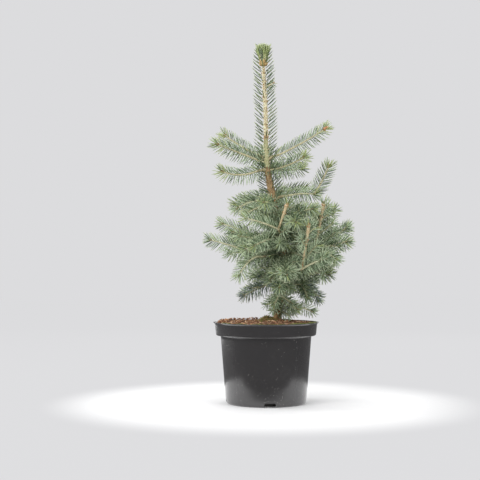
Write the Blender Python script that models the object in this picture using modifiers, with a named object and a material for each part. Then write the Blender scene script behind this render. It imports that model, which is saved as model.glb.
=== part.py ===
"""Potted blue spruce, built as a nursery grows it.

A turned plastic container holds its potting soil. The trunk stands on the soil and is carried whole to
the tip of the leader. Boughs leave it in whorls, and each ends in a mass of needled shoots.
"""

import math
import random

import bmesh
import bpy
import numpy as np
from mathutils import Vector

# ---------------------------------------------------------------- driving dimensions, in metres

GAP = 0.0003                    # clearance between solids that touch

POT_HEIGHT = 0.149
POT_WALL = 0.0020
POT_BASE_R = 0.0740
POT_SHOULDER_R = 0.0836         # outside of the wall just under the rim
POT_FOOT_ROUND = 0.004
RIM_HEIGHT = 0.0245
RIM_R = 0.0942
RIM_LOW_R = 0.0918
RIM_ROUND = 0.0030
LIP_R = 0.0972
LIP_HEIGHT = 0.0035
DRAIN_COUNT = 4
DRAIN_WIDTH = 0.020
DRAIN_HEIGHT = 0.0080
DRAIN_DEPTH = 0.016
DRAIN_BEARING = math.radians(-85.8)     # of the first notch, from +X
DRAIN_SPLAY = 0.0015            # how much wider the notch is at the ground, each side
DRAIN_OVERSHOOT = 0.002         # how far the cutter passes the foot of the wall

SOIL_EDGE_Z = 0.1476
SOIL_TOP_Z = 0.1520             # flat patch under the trunk
SOIL_FOOT_INSET = 0.014         # the soil stays back from the drain notches
SOIL_FOOT_RISE = 0.006          # and reaches the wall this far above them
SOIL_ROUGH = 0.0008
MOUND_R = 0.019
MOUND_SKIRT_R = 0.060

TRUNK_FOOT_Z = SOIL_TOP_Z + GAP
TRUNK_FLARE_HEIGHT = 0.016
TRUNK_FLARE_R = 0.0108
# height, offset to the right, radius
TRUNK_STATIONS = (
    (TRUNK_FOOT_Z, 0.0192, 0.0078),
    (0.2130, 0.0312, 0.0070),
    (0.2820, 0.0315, 0.0064),
    (0.3740, 0.0130, 0.0068),
    (0.4390, 0.0020, 0.0058),
    (0.4650, 0.0005, 0.0042),
    (0.5410, -0.0008, 0.0034),
    (0.6360, -0.0052, 0.0022),
)
TRUNK_STEP = 0.016

BOUGH_R_AT_TRUNK = 0.0030
BOUGH_R_AT_FORK = 0.0019
STEM_R = 0.0017
TWIG_R = 0.0013
TIP_R = 0.0008
COLLAR = 0.005                  # straight end of a mass's stem that meets its bough
LIMB_STEP = 0.012

RING = 0.0098                   # spacing of the sprays along a shoot
RING_TURN = math.radians(38)
NEEDLE = 0.0185
NEEDLE_LEAN = math.radians(47)  # angle between a needle and its shoot
NEEDLE_LEAN_AT_TIP = math.radians(24)
CROWN_LEAN = math.radians(44)    # the needles at the leader's tip stand wider
NEEDLE_GAP = 0.0009             # room between sprays of neighbouring shoots
SLEEVE_SIDES = 6
SLEEVE = 0.0020                 # thickness of the core round a needled trunk
LEADER_Z = (0.463, 0.643)
INTERNODE_Z = (0.391, 0.423)
TOP_NEEDLE = 0.0235
LEADER_TWIG = (0.583, 0.014, -0.003, 0.591)     # height of its foot, then its tip

TWIG_EVERY = 0.019
TWIG_FROM = 0.22                # share of a shoot where its side twigs begin
TWIG_ANGLE = math.radians(38)
TWIG_SHARE = 0.62               # length of a side twig against the rest of its shoot
TWIG_LENGTHS = (0.017, 0.042)
TWIG_ROOM = 0.0084              # room that the outer half of a side twig needs
TWIG_LOWEST_Z = SOIL_TOP_Z + 0.012
TWIG_ANGLE_SPREAD = (0.85, 1.15)
TWIG_ROLL = 0.6
SEED = 41

# One row for each limb: name, height of its foot on the trunk, where its bare wood ends (None where the
# shoot leaves the trunk itself), then its shoots: share of the first shoot where this one starts,
# its tip (right, back, up) and how far it bows upwards. The last value says whether side twigs grow.
LIMBS = (
    # upper whorl, last year's shoots with no side twigs
    ("upper_right", 0.447, (0.022, 0.004, 0.458), ((0, 0.113, 0.020, 0.510, -0.002),), False),
    ("upper_left", 0.448, (-0.018, 0.005, 0.460), ((0, -0.077, 0.017, 0.497, -0.002),), False),
    ("upper_left_front", 0.442, None, ((0, -0.091, -0.027, 0.475, 0.000),), False),
    ("upper_left_low", 0.429, (-0.015, -0.009, 0.427), ((0, -0.081, -0.036, 0.424, -0.006),), False),
    ("upper_right_low", 0.429, None, ((0, 0.069, -0.050, 0.449, -0.004),), False),
    ("upper_back_right", 0.433, None, ((0, 0.070, 0.045, 0.437, -0.003),), False),
    ("upper_back", 0.444, None, ((0, 0.002, 0.092, 0.478, 0.000),), False),
    # middle whorl
    ("middle_right", 0.374, (0.040, -0.006, 0.382),
     ((0, 0.090, -0.010, 0.384, 0.002), (0.98, 0.116, -0.014, 0.437, -0.003)), False),
    ("middle_back_right", 0.384, (0.032, 0.018, 0.392), ((0, 0.075, 0.052, 0.399, 0.000),), False),
    ("middle_left", 0.377, (-0.008, -0.004, 0.374),
     ((0, -0.054, -0.018, 0.357, 0.003), (0.2, -0.058, 0.012, 0.368, 0.000)), False),
    ("middle_back_left", 0.383, None, ((0, -0.044, 0.060, 0.380, 0.000),), False),
    ("middle_back", 0.369, None, ((0, 0.028, 0.090, 0.385, 0.000),), False),
    ("middle_front", 0.362, None,
     ((0, -0.006, -0.070, 0.366, 0.003), (0.3, -0.034, -0.034, 0.349, 0.002)), False),
    # lower crown, left
    ("left_high", 0.289, (-0.008, 0.004, 0.300),
     ((0, -0.082, 0.016, 0.331, 0.003), (0.1, -0.050, -0.040, 0.307, 0.000),
      (0.3, -0.062, -0.004, 0.314, 0.002)), False),
    ("left_long", 0.256, (-0.004, -0.008, 0.269),
     ((0, -0.104, -0.022, 0.300, 0.002), (0.12, -0.068, 0.010, 0.276, 0.003)), False),
    ("left_low", 0.272, (-0.004, -0.020, 0.270),
     ((0, -0.050, -0.046, 0.235, 0.011), (0.15, -0.040, -0.020, 0.258, 0.003)), False),
    ("left_bottom", 0.240, (0.010, 0.006, 0.223), ((0, -0.042, 0.020, 0.197, 0.000),), True),
    # lower crown, front
    ("front_upright", 0.281, (0.0225, -0.044, 0.316),
     ((0, 0.036, -0.064, 0.362, 0.000), (0, -0.038, -0.070, 0.337, 0.002)), False),
    ("front_right_high", 0.322, None,
     ((0, 0.082, -0.068, 0.354, 0.008), (0.35, 0.052, -0.076, 0.330, 0.003)), True),
    ("front_left", 0.303, None,
     ((0, -0.022, -0.088, 0.288, 0.004), (0.15, -0.040, -0.052, 0.281, 0.003)), False),
    ("front", 0.262, None, ((0, 0.034, -0.103, 0.237, 0.003),), True),
    ("front_right", 0.242, (0.061, -0.052, 0.246),
     ((0, 0.0745, -0.078, 0.325, 0.000), (0, 0.104, -0.085, 0.264, 0.003)), True),
    ("front_low", 0.232, None, ((0, 0.022, -0.066, 0.214, 0.000),), True),
    ("front_bottom", 0.208, None,
     ((0, 0.014, -0.038, 0.183, 0.000), (0.35, 0.046, -0.034, 0.185, 0.000)), False),
    # lower crown, right
    ("right_high", 0.308, (0.060, -0.016, 0.307),
     ((0, 0.129, 0.020, 0.357, 0.000), (0.2, 0.104, 0.046, 0.345, 0.000)), True),
    ("right_mid", 0.275, (0.062, -0.012, 0.272),
     ((0, 0.151, 0.004, 0.321, 0.003), (0.1, 0.148, -0.028, 0.297, 0.003),
      (0.35, 0.104, -0.038, 0.366, -0.002), (0.1, 0.124, -0.060, 0.265, 0.010)), True),
    ("right_low", 0.237, (0.068, 0.008, 0.239),
     ((0, 0.119, 0.016, 0.248, 0.003), (0.1, 0.114, -0.032, 0.236, 0.002)), True),
    ("right_bottom", 0.220, (0.064, 0.016, 0.219),
     ((0, 0.098, 0.022, 0.187, 0.006), (0.1, 0.076, -0.020, 0.193, 0.002)), True),
    ("foot_right", 0.186, None,
     ((0, 0.057, -0.040, 0.174, 0.000), (0.45, 0.086, -0.008, 0.168, 0.002)), False),
    # lower crown, back
    ("back_high", 0.330, (0.024, 0.030, 0.334),
     ((0, 0.000, 0.100, 0.348, 0.000), (0, 0.056, 0.096, 0.340, 0.000)), True),
    ("back_left", 0.284, (0.002, 0.028, 0.286),
     ((0, -0.060, 0.074, 0.306, 0.000), (0, -0.016, 0.108, 0.298, 0.000)), True),
    ("back_right", 0.268, (0.054, 0.030, 0.272),
     ((0, 0.114, 0.074, 0.300, 0.000), (0, 0.074, 0.112, 0.290, 0.000)), True),
    ("back_low", 0.247, None, ((0, 0.016, 0.104, 0.238, 0.003), (0.3, -0.026, 0.070, 0.232, 0.000)), True),
    ("back_right_low", 0.226, None, ((0, 0.090, 0.074, 0.220, 0.002),), True),
    ("back_bottom", 0.200, None, ((0, 0.020, 0.058, 0.184, 0.000),), True),
)

TWIG_CHECKED_AT = (0.5, 0.75, 1.0)
SPRAY_CHECKED_AT = (0.3, 0.65, 1.0)
BOUGH_BOW = 0.002
FORK_STAGGER = 0.0009           # between shoots that start at one fork
TWIG_NEEDLE_SHARE = 0.9
TIP_NEEDLE_SHARE = 0.65
SPRAY_SHARES = (1.0, 0.85, 0.7, 0.55, 0.4)
CAP_SHARE = 0.6                 # a face this near the axis, in radii of its end, is a cap's

# facets
POT_STEPS = 40
SOIL_STEPS = 24
SOIL_RINGS = 8
TRUNK_SIDES = 10
BOUGH_SIDES = 6
SHOOT_SIDES = 4

PLASTIC = ((0.035, 0.034, 0.035), 0.42)
SOIL = ((0.165, 0.085, 0.045), 0.95)
BARK = ((0.235, 0.135, 0.065), 0.85)
TWIG_BARK = ((0.360, 0.240, 0.120), 0.75)
NEEDLES = ((0.185, 0.255, 0.205), 0.60)

# ---------------------------------------------------------------- scene, collections and materials


def empty_scene():
    for thing in list(bpy.data.objects):
        bpy.data.objects.remove(thing, do_unlink=True)


def new_collection(name):
    collection = bpy.data.collections.new(name)
    bpy.context.scene.collection.children.link(collection)
    return collection


def new_material(name, look):
    colour, roughness = look
    material = bpy.data.materials.new(name)
    material.use_nodes = True
    shader = material.node_tree.nodes["Principled BSDF"]
    shader.inputs["Base Color"].default_value = (*colour, 1.0)
    shader.inputs["Roughness"].default_value = roughness
    shader.inputs["Metallic"].default_value = 0.0
    material.diffuse_color = (*colour, 1.0)
    return material


def new_object(name, data, collection, material=None):
    thing = bpy.data.objects.new(name, data)
    collection.objects.link(thing)
    if material:
        data.materials.append(material)
    return thing


def as_cutter(thing):
    thing.hide_render = True
    thing.display_type = "WIRE"


def cut(thing, cutter):
    boolean = thing.modifiers.new("cut_" + cutter.name, "BOOLEAN")
    boolean.operation = "DIFFERENCE"
    boolean.solver = "EXACT"
    boolean.object = cutter


def smooth(mesh, angle):
    mesh.shade_smooth()
    mesh.set_sharp_from_angle(angle=math.radians(angle))


# ---------------------------------------------------------------- pot and soil


def turned(name, profile, steps, collection, material):
    """A profile in the XZ plane turned about Z. Its outer side runs downwards."""
    mesh = bpy.data.meshes.new(name)
    edges = [(i, i + 1) for i in range(len(profile) - 1)]
    mesh.from_pydata([(r, 0.0, z) for r, z in profile], edges, [])
    thing = new_object(name, mesh, collection, material)
    screw = thing.modifiers.new("turn", "SCREW")
    screw.axis = "Z"
    screw.steps = steps
    screw.render_steps = steps
    screw.use_merge_vertices = True
    screw.merge_threshold = 0.00001
    screw.use_smooth_shade = True
    return thing


def quarter(centre_r, centre_z, radius, steps):
    """Profile points of a rounded outer corner, from its side to its underside."""
    turns = [-0.5 * math.pi * i / steps for i in range(steps + 1)]
    return [(centre_r + radius * math.cos(a), centre_z + radius * math.sin(a)) for a in turns]


def wall_radius(z):
    share = z / (POT_HEIGHT - RIM_HEIGHT)
    return POT_BASE_R + (POT_SHOULDER_R - POT_BASE_R) * share


def make_pot(collection, cutters, material):
    rim_foot_z = POT_HEIGHT - RIM_HEIGHT
    inside = [
        (0.0, POT_WALL),
        (wall_radius(0.0) - POT_WALL - POT_FOOT_ROUND, POT_WALL),
        (wall_radius(POT_WALL + POT_FOOT_ROUND) - POT_WALL, POT_WALL + POT_FOOT_ROUND),
        (wall_radius(rim_foot_z) - POT_WALL, rim_foot_z),
        (RIM_LOW_R - POT_WALL, rim_foot_z + 2 * POT_WALL),
        (RIM_R - POT_WALL, POT_HEIGHT - LIP_HEIGHT),
        (LIP_R - 2 * POT_WALL, POT_HEIGHT),
    ]
    outside = [
        (LIP_R - 0.4 * POT_WALL, POT_HEIGHT),
        (LIP_R, POT_HEIGHT - 0.4 * POT_WALL),
        (RIM_R, POT_HEIGHT - LIP_HEIGHT),
        (RIM_LOW_R + RIM_ROUND / 3, rim_foot_z + RIM_ROUND),
        (RIM_LOW_R - RIM_ROUND, rim_foot_z),
        (wall_radius(rim_foot_z), rim_foot_z - RIM_ROUND / 3),
    ]
    foot = quarter(POT_BASE_R - POT_FOOT_ROUND, POT_FOOT_ROUND, POT_FOOT_ROUND, 3)
    pot = turned("pot", inside + outside + foot + [(0.0, 0.0)], POT_STEPS, collection, material)
    for index in range(DRAIN_COUNT):
        cut(pot, make_drain_cutter(index, cutters))
    return pot


def make_drain_cutter(index, cutters):
    """A splayed wedge that notches the foot of the wall, wider at the ground."""
    half = DRAIN_WIDTH / 2
    wide = half + DRAIN_SPLAY
    low = -DRAIN_OVERSHOOT
    corners = [(half, DRAIN_HEIGHT), (-half, DRAIN_HEIGHT), (-wide, low), (wide, low)]
    outline = bpy.data.curves.new(f"drain_{index}", "CURVE")
    outline.dimensions = "2D"
    outline.fill_mode = "BOTH"
    outline.extrude = DRAIN_DEPTH / 2
    spline = outline.splines.new("POLY")
    spline.points.add(len(corners) - 1)
    for point, (x, z) in zip(spline.points, corners):
        point.co = (x, z, 0.0, 1.0)
    spline.use_cyclic_u = True
    cutter = mesh_from_curve(outline, f"drain_{index}", cutters)
    bearing = DRAIN_BEARING + 2 * math.pi * index / DRAIN_COUNT
    middle_r = POT_BASE_R + DRAIN_OVERSHOOT - DRAIN_DEPTH / 2
    cutter.location = (middle_r * math.cos(bearing), middle_r * math.sin(bearing), 0.0)
    cutter.rotation_euler = (math.pi / 2, 0.0, bearing + math.pi / 2)
    as_cutter(cutter)
    return cutter


def mound(x, y):
    """How much of the mound's height stands at a place: 1 at the trunk's foot, 0 past its skirt."""
    away = math.hypot(x - TRUNK_STATIONS[0][1], y)
    share = min(max((away - MOUND_R) / (MOUND_SKIRT_R - MOUND_R), 0.0), 1.0)
    return 1.0 - share * share * (3.0 - 2.0 * share)


def make_soil(collection, material):
    clear = POT_WALL + 2 * GAP
    edge_r = RIM_R - clear
    rim_foot_z = POT_HEIGHT - RIM_HEIGHT
    foot_z = DRAIN_HEIGHT + SOIL_FOOT_RISE
    top = [(edge_r * i / SOIL_RINGS, SOIL_EDGE_Z) for i in range(SOIL_RINGS + 1)]
    side = [
        (RIM_LOW_R - clear, rim_foot_z + 2 * POT_WALL + GAP),
        (wall_radius(rim_foot_z) - clear, rim_foot_z + GAP),
        (wall_radius(foot_z) - clear, foot_z),
        (POT_BASE_R - SOIL_FOOT_INSET, POT_WALL + GAP),
        (0.0, POT_WALL + GAP),
    ]
    soil = turned("soil", top + side, SOIL_STEPS, collection, material)
    applied(soil)
    rng = random.Random(SEED)
    for vertex in soil.data.vertices:
        x, y, z = vertex.co
        if abs(z - SOIL_EDGE_Z) > GAP or math.hypot(x, y) > edge_r - GAP:
            continue
        share = mound(x, y)
        vertex.co.z = SOIL_EDGE_Z + (SOIL_TOP_Z - SOIL_EDGE_Z) * share
        if share < 1.0:
            vertex.co.z += rng.uniform(-SOIL_ROUGH, SOIL_ROUGH)
    return soil


# ---------------------------------------------------------------- meshes from curves and Booleans


def applied(thing):
    """Leaves the object with the mesh that its modifiers make."""
    graph = bpy.context.evaluated_depsgraph_get()
    mesh = bpy.data.meshes.new_from_object(thing.evaluated_get(graph))
    thing.modifiers.clear()
    thing.data = mesh
    return thing


def mesh_from_curve(curve, name, collection, material=None):
    """A mesh object with the curve's shape, its caps welded to its sides."""
    guide = bpy.data.objects.new(name + "_guide", curve)
    collection.objects.link(guide)
    bpy.context.view_layer.update()
    graph = bpy.context.evaluated_depsgraph_get()
    mesh = bpy.data.meshes.new_from_object(guide.evaluated_get(graph))
    bpy.data.objects.remove(guide, do_unlink=True)
    bpy.data.curves.remove(curve)
    shape = bmesh.new()
    shape.from_mesh(mesh)
    bmesh.ops.remove_doubles(shape, verts=shape.verts, dist=1e-6)
    shape.to_mesh(mesh)
    shape.free()
    mesh.name = name
    return new_object(name, mesh, collection, material)


def tube(name, points, radii, sides, collection, material=None, turn=0.0):
    """A tapering tube with capped ends along the points; turn twists it a little at each point."""
    curve = bpy.data.curves.new(name, "CURVE")
    curve.dimensions = "3D"
    curve.fill_mode = "FULL"
    curve.use_fill_caps = True
    curve.bevel_depth = 1.0
    curve.bevel_resolution = sides // 2 - 2
    spline = curve.splines.new("POLY")
    spline.points.add(len(points) - 1)
    for index, (point, place, radius) in enumerate(zip(spline.points, points, radii)):
        point.co = (*place, 1.0)
        point.radius = radius
        point.tilt = index * turn
    return mesh_from_curve(curve, name, collection, material)


# ---------------------------------------------------------------- trunk


def station_value(z, column):
    """One column of TRUNK_STATIONS at a height, as a smooth curve through its rows."""
    rows = TRUNK_STATIONS
    z = min(max(z, rows[0][0]), rows[-1][0])
    i = max(k for k in range(len(rows) - 1) if rows[k][0] <= z)
    before, low, high, after = rows[max(i - 1, 0)], rows[i], rows[i + 1], rows[min(i + 2, len(rows) - 1)]
    span = high[0] - low[0]
    t = (z - low[0]) / span
    slope_low = span * (high[column] - before[column]) / (high[0] - before[0])
    slope_high = span * (after[column] - low[column]) / (after[0] - low[0])
    value = (2 * t**3 - 3 * t**2 + 1) * low[column] + (t**3 - 2 * t**2 + t) * slope_low
    return value + (3 * t**2 - 2 * t**3) * high[column] + (t**3 - t**2) * slope_high


def trunk_place(z):
    return Vector((station_value(z, 1), 0.0, z))


def trunk_radius(z):
    above = min(max((z - TRUNK_FOOT_Z) / TRUNK_FLARE_HEIGHT, 0.0), 1.0)
    flare = (TRUNK_FLARE_R - TRUNK_STATIONS[0][2]) * (1.0 - above) ** 2
    return station_value(z, 2) + flare


def trunk_heights(low, high, step):
    count = max(1, round((high - low) / step))
    return [low + (high - low) * i / count for i in range(count + 1)]


def trunk_tube(name, grow, collection, material=None):
    """The trunk, or a fatter copy of it that clears other solids from it. Its first piece is upright."""
    foot = TRUNK_FOOT_Z
    upright = 0.25 * TRUNK_FLARE_HEIGHT
    heights = trunk_heights(foot, foot + TRUNK_FLARE_HEIGHT, upright)
    heights += trunk_heights(foot + TRUNK_FLARE_HEIGHT, TRUNK_STATIONS[-1][0], TRUNK_STEP)[1:]
    places = [trunk_place(z) for z in heights]
    places[1].x = places[0].x
    radii = [trunk_radius(z) + grow for z in heights]
    if grow:
        places[0].z -= POT_HEIGHT / 10
        places[-1].z += grow
    return tube(name, places, radii, TRUNK_SIDES, collection, material)


# ---------------------------------------------------------------- boughs and shoots


def arched(foot, tip, bow, step):
    """Points from foot to tip on an arch whose middle stands bow above the straight line."""
    middle = (foot + tip) / 2 + Vector((0.0, 0.0, 2 * bow))
    count = max(2, round((tip - foot).length / step))
    shares = [i / count for i in range(count + 1)]
    return [(1 - t) ** 2 * foot + 2 * t * (1 - t) * middle + t * t * tip for t in shares]


def along(points, share):
    """The place and the direction at a share of a path."""
    at = min(share, 0.999) * (len(points) - 1)
    i = int(at)
    step = points[i + 1] - points[i]
    return points[i] + step * (at - i), step.normalized()


class Shoot:
    """A needled shoot: its mass, its path, its thickness at both ends and its needles' length."""

    def __init__(self, mass, points, thick, needle, twiggy=False):
        self.mass = mass
        self.points = points
        self.thick = thick
        self.thin = TIP_R
        self.needle = needle
        self.lean_at_tip = NEEDLE_LEAN_AT_TIP
        self.sides = SHOOT_SIDES
        self.twiggy = twiggy


def sleeve_shoot(name, low, high, needle):
    """A shoot whose path is the trunk's own, up to a height that may be past its tip."""
    points = []
    for z in trunk_heights(low, high, RING):
        points.append(trunk_place(z))
        points[-1].z = z
    shoot = Shoot(name, points, trunk_radius(low) + SLEEVE, needle)
    shoot.thin = trunk_radius(high) + SLEEVE
    shoot.sides = SLEEVE_SIDES
    shoot.lean_at_tip = CROWN_LEAN
    return shoot


def limb_paths():
    """Every bough's path by name, and the shoots of all masses, each mass's stem before the rest."""
    boughs = {}
    shoots = [
        sleeve_shoot("leader", *LEADER_Z, NEEDLE),
        sleeve_shoot("internode", *INTERNODE_Z, NEEDLE),
    ]
    twig_foot, *twig_tip = LEADER_TWIG
    twig = arched(trunk_place(twig_foot), Vector(twig_tip), 0.0, RING / 2)
    shoots.append(Shoot("leader", twig, TWIG_R, NEEDLE * TWIG_NEEDLE_SHARE))
    for name, foot_z, fork, tips, twiggy in LIMBS:
        foot = trunk_place(foot_z)
        root = [foot]
        if fork:
            fork = Vector(fork)
            boughs[name] = arched(foot, fork, BOUGH_BOW, LIMB_STEP)
            away = (boughs[name][-1] - boughs[name][-2]).normalized()
            root = [fork + away * GAP, fork + away * COLLAR]
        first = None
        for number, (share, x, y, z, bow) in enumerate(tips):
            start = root[-1] if share == 0 else along(first, share)[0]
            if share == 0 and number:
                start = start - away * FORK_STAGGER * number
            path = arched(start, Vector((x, y, z)), bow, RING)
            if first is None:
                path = root[:-1] + path
                first = path
            shoots.append(Shoot(name, path, STEM_R, NEEDLE, twiggy))
    return boughs, shoots


def axis_lines(boughs, shoots):
    """All axes as line pieces: starts, ends, the thickness round them and whose they are."""
    lines = []
    bare = ((TRUNK_FOOT_Z, INTERNODE_Z[0]), (INTERNODE_Z[1], LEADER_Z[0]))
    for low, high in bare:
        trunk = [trunk_place(z) for z in trunk_heights(low, high, TRUNK_STEP)]
        lines += [(a, b, trunk_radius(a.z), -1) for a, b in zip(trunk, trunk[1:])]
    for path in boughs.values():
        lines += [(a, b, BOUGH_R_AT_TRUNK, -1) for a, b in zip(path, path[1:])]
    for owner, shoot in enumerate(shoots):
        lines += [(a, b, shoot.thick, owner) for a, b in zip(shoot.points, shoot.points[1:])]
    starts, ends, thick, owners = zip(*lines)
    return np.array(starts), np.array(ends), np.array(thick), np.array(owners)


def distances(places, lines):
    """How far each place is from the surface of each axis line."""
    starts, ends, thick, _ = lines
    run = ends - starts
    offset = places[:, None, :] - starts[None, :, :]
    share = np.einsum("pnk,nk->pn", offset, run) / np.maximum((run * run).sum(axis=1), 1e-12)
    nearest = np.clip(share, 0.0, 1.0)[..., None] * run[None, :, :]
    return np.linalg.norm(offset - nearest, axis=2) - thick[None, :]


def add_side_twigs(boughs, shoots):
    """Side twigs on alternate sides of each twiggy shoot, where no other limb is near."""
    rng = random.Random(SEED)
    for parent in [shoot for shoot in shoots if shoot.twiggy]:
        length = sum((b - a).length for a, b in zip(parent.points, parent.points[1:]))
        count = int(length * (1 - TWIG_FROM) / TWIG_EVERY)
        for index in range(count):
            share = TWIG_FROM + (1 - TWIG_FROM) * (index + 0.3) / count
            root, ahead = along(parent.points, share)
            side = ahead.cross(Vector((0.0, 0.0, 1.0))).normalized() * (1 if index % 2 else -1)
            upwards = side.cross(ahead).normalized()
            angle = TWIG_ANGLE * rng.uniform(*TWIG_ANGLE_SPREAD)
            roll = rng.uniform(-TWIG_ROLL, TWIG_ROLL)
            out = side * math.cos(roll) + upwards * math.sin(roll)
            reach = min(max(length * (1 - share) * TWIG_SHARE, TWIG_LENGTHS[0]), TWIG_LENGTHS[1])
            tip = root + (ahead * math.cos(angle) + out * math.sin(angle)) * reach
            path = arched(root, tip, 0.0, RING)
            lines = axis_lines(boughs, shoots)
            free = np.array([root.lerp(tip, t) for t in TWIG_CHECKED_AT])
            others = lines[3] != shoots.index(parent)
            room = distances(free, lines)[:, others].min()
            if room > TWIG_ROOM and tip.z > TWIG_LOWEST_Z:
                shoots.append(Shoot(parent.mass, path, TWIG_R, NEEDLE * TWIG_NEEDLE_SHARE))


def room_for(roots, tips, half_root, ahead, owner, lines):
    """For each needle spray, the longest share of it that keeps to the space of its own shoot."""
    own = lines[3] == owner
    lengths = np.zeros(len(roots))
    for share in SPRAY_SHARES:
        keeps = np.ones(len(roots), dtype=bool)
        for along_spray in SPRAY_CHECKED_AT:
            middle = roots + (tips - roots) * share * along_spray
            for shift in (-1, 0, 1):
                place = middle + ahead * shift * half_root * (1 - along_spray)
                away = distances(place, lines)
                keeps &= away[:, own].min(axis=1) + NEEDLE_GAP < away[:, ~own].min(axis=1)
        lengths = np.where(keeps & (lengths == 0), share, lengths)
    return lengths


def draw_out_sprays(thing, shoot, owner, lines):
    """Pokes the side faces of a shoot's core and draws each new point out into a spray of needles."""
    axis = np.array(shoot.points)
    steps = axis[1:] - axis[:-1]
    steps /= np.linalg.norm(steps, axis=1)[:, None]
    middles = (axis[1:] + axis[:-1]) / 2
    shape = bmesh.new()
    shape.from_mesh(thing.data)
    shape.faces.ensure_lookup_table()
    faces, roots, tips, aheads = [], [], [], []
    for face in list(shape.faces):
        centre = np.array(face.calc_center_median())
        i = int(np.argmin(np.linalg.norm(middles - centre, axis=1)))
        out = centre - middles[i]
        out -= steps[i] * (out @ steps[i])
        if np.linalg.norm(out) < shoot.thin * CAP_SHARE:
            continue
        out /= np.linalg.norm(out)
        share = i / max(len(middles) - 1, 1)
        lean = NEEDLE_LEAN + (shoot.lean_at_tip - NEEDLE_LEAN) * share**4
        faces.append(face)
        roots.append(centre)
        tips.append(centre + (out * math.sin(lean) + steps[i] * math.cos(lean)) * shoot.needle)
        aheads.append(steps[i])
    roots, tips, aheads = np.array(roots), np.array(tips), np.array(aheads)
    shares = room_for(roots, tips, RING / 2, aheads, owner, lines)
    for face, root, tip, share in zip(faces, roots, tips, shares):
        if share > 0:
            poked = bmesh.ops.poke(shape, faces=[face])
            poked["verts"][0].co = Vector(root + (tip - root) * share)
    near_end = shoot.thin * CAP_SHARE
    cap = [f for f in shape.faces if (f.calc_center_median() - Vector(axis[-1])).length < near_end]
    if len(cap) > 1:
        cap = bmesh.ops.dissolve_faces(shape, faces=cap)["region"]
    poked = bmesh.ops.poke(shape, faces=cap)
    reach = TOP_NEEDLE if shoot.mass == "leader" else shoot.needle * TIP_NEEDLE_SHARE
    poked["verts"][0].co = Vector(axis[-1] + steps[-1] * reach)
    shape.to_mesh(thing.data)
    shape.free()


# ---------------------------------------------------------------- masses of needles


def joined(thing, others):
    """One Boolean union of the object with a collection of others, which are then removed."""
    if len(others.objects):
        union = thing.modifiers.new("join", "BOOLEAN")
        union.operation = "UNION"
        union.solver = "MANIFOLD"
        union.operand_type = "COLLECTION"
        union.collection = others
        applied(thing)
        for other in list(others.objects):
            bpy.data.objects.remove(other, do_unlink=True)
    return thing


def shoot_core(shoot, name, collection, material):
    count = len(shoot.points)
    radii = [shoot.thick + (shoot.thin - shoot.thick) * i / (count - 1) for i in range(count)]
    return tube(name, shoot.points, radii, shoot.sides, collection, material, RING_TURN)


def make_mass(name, members, lines, collection, joining, material):
    """One node: the cores of its shoots with their sprays drawn out, fused into one body."""
    parts = []
    for number, (owner, shoot) in enumerate(members):
        home = joining if number else collection
        part = shoot_core(shoot, f"{name}_needles_{number}", home, material)
        draw_out_sprays(part, shoot, owner, lines)
        parts.append(part)
    mass = joined(parts[0], joining)
    mass.name = mass.data.name = name + "_needles"
    return mass


def main():
    empty_scene()
    plant = new_collection("potted_blue_spruce")
    cutters = new_collection("cutters")
    joining = new_collection("joining")
    plastic = new_material("pot_plastic", PLASTIC)
    earth = new_material("potting_soil", SOIL)
    bark = new_material("bark", BARK)
    twig_bark = new_material("twig_bark", TWIG_BARK)
    needles = new_material("needles", NEEDLES)

    make_pot(plant, cutters, plastic)
    make_soil(plant, earth)
    trunk = trunk_tube("trunk", 0.0, plant, bark)
    smooth(trunk.data, 40)
    trunk_room = trunk_tube("trunk_room", GAP, cutters)
    as_cutter(trunk_room)

    boughs, shoots = limb_paths()
    add_side_twigs(boughs, shoots)
    lines = axis_lines(boughs, shoots)
    for name, path in boughs.items():
        count = len(path)
        thin = BOUGH_R_AT_FORK - BOUGH_R_AT_TRUNK
        radii = [BOUGH_R_AT_TRUNK + thin * i / (count - 1) for i in range(count)]
        bough = tube(name + "_bough", path, radii, BOUGH_SIDES, plant, twig_bark)
        cut(bough, trunk_room)
    for name in dict.fromkeys(shoot.mass for shoot in shoots):
        members = [(i, shoot) for i, shoot in enumerate(shoots) if shoot.mass == name]
        mass = make_mass(name, members, lines, plant, joining, needles)
        if name not in boughs:
            cut(mass, trunk_room)
    bpy.data.collections.remove(joining)


main()
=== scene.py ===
"""Looks of a potted blue spruce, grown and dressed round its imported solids, in metres with +Z up."""

import math
import random
from collections import namedtuple

import bmesh
import bpy
import numpy as np
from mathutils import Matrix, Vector, noise


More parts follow.
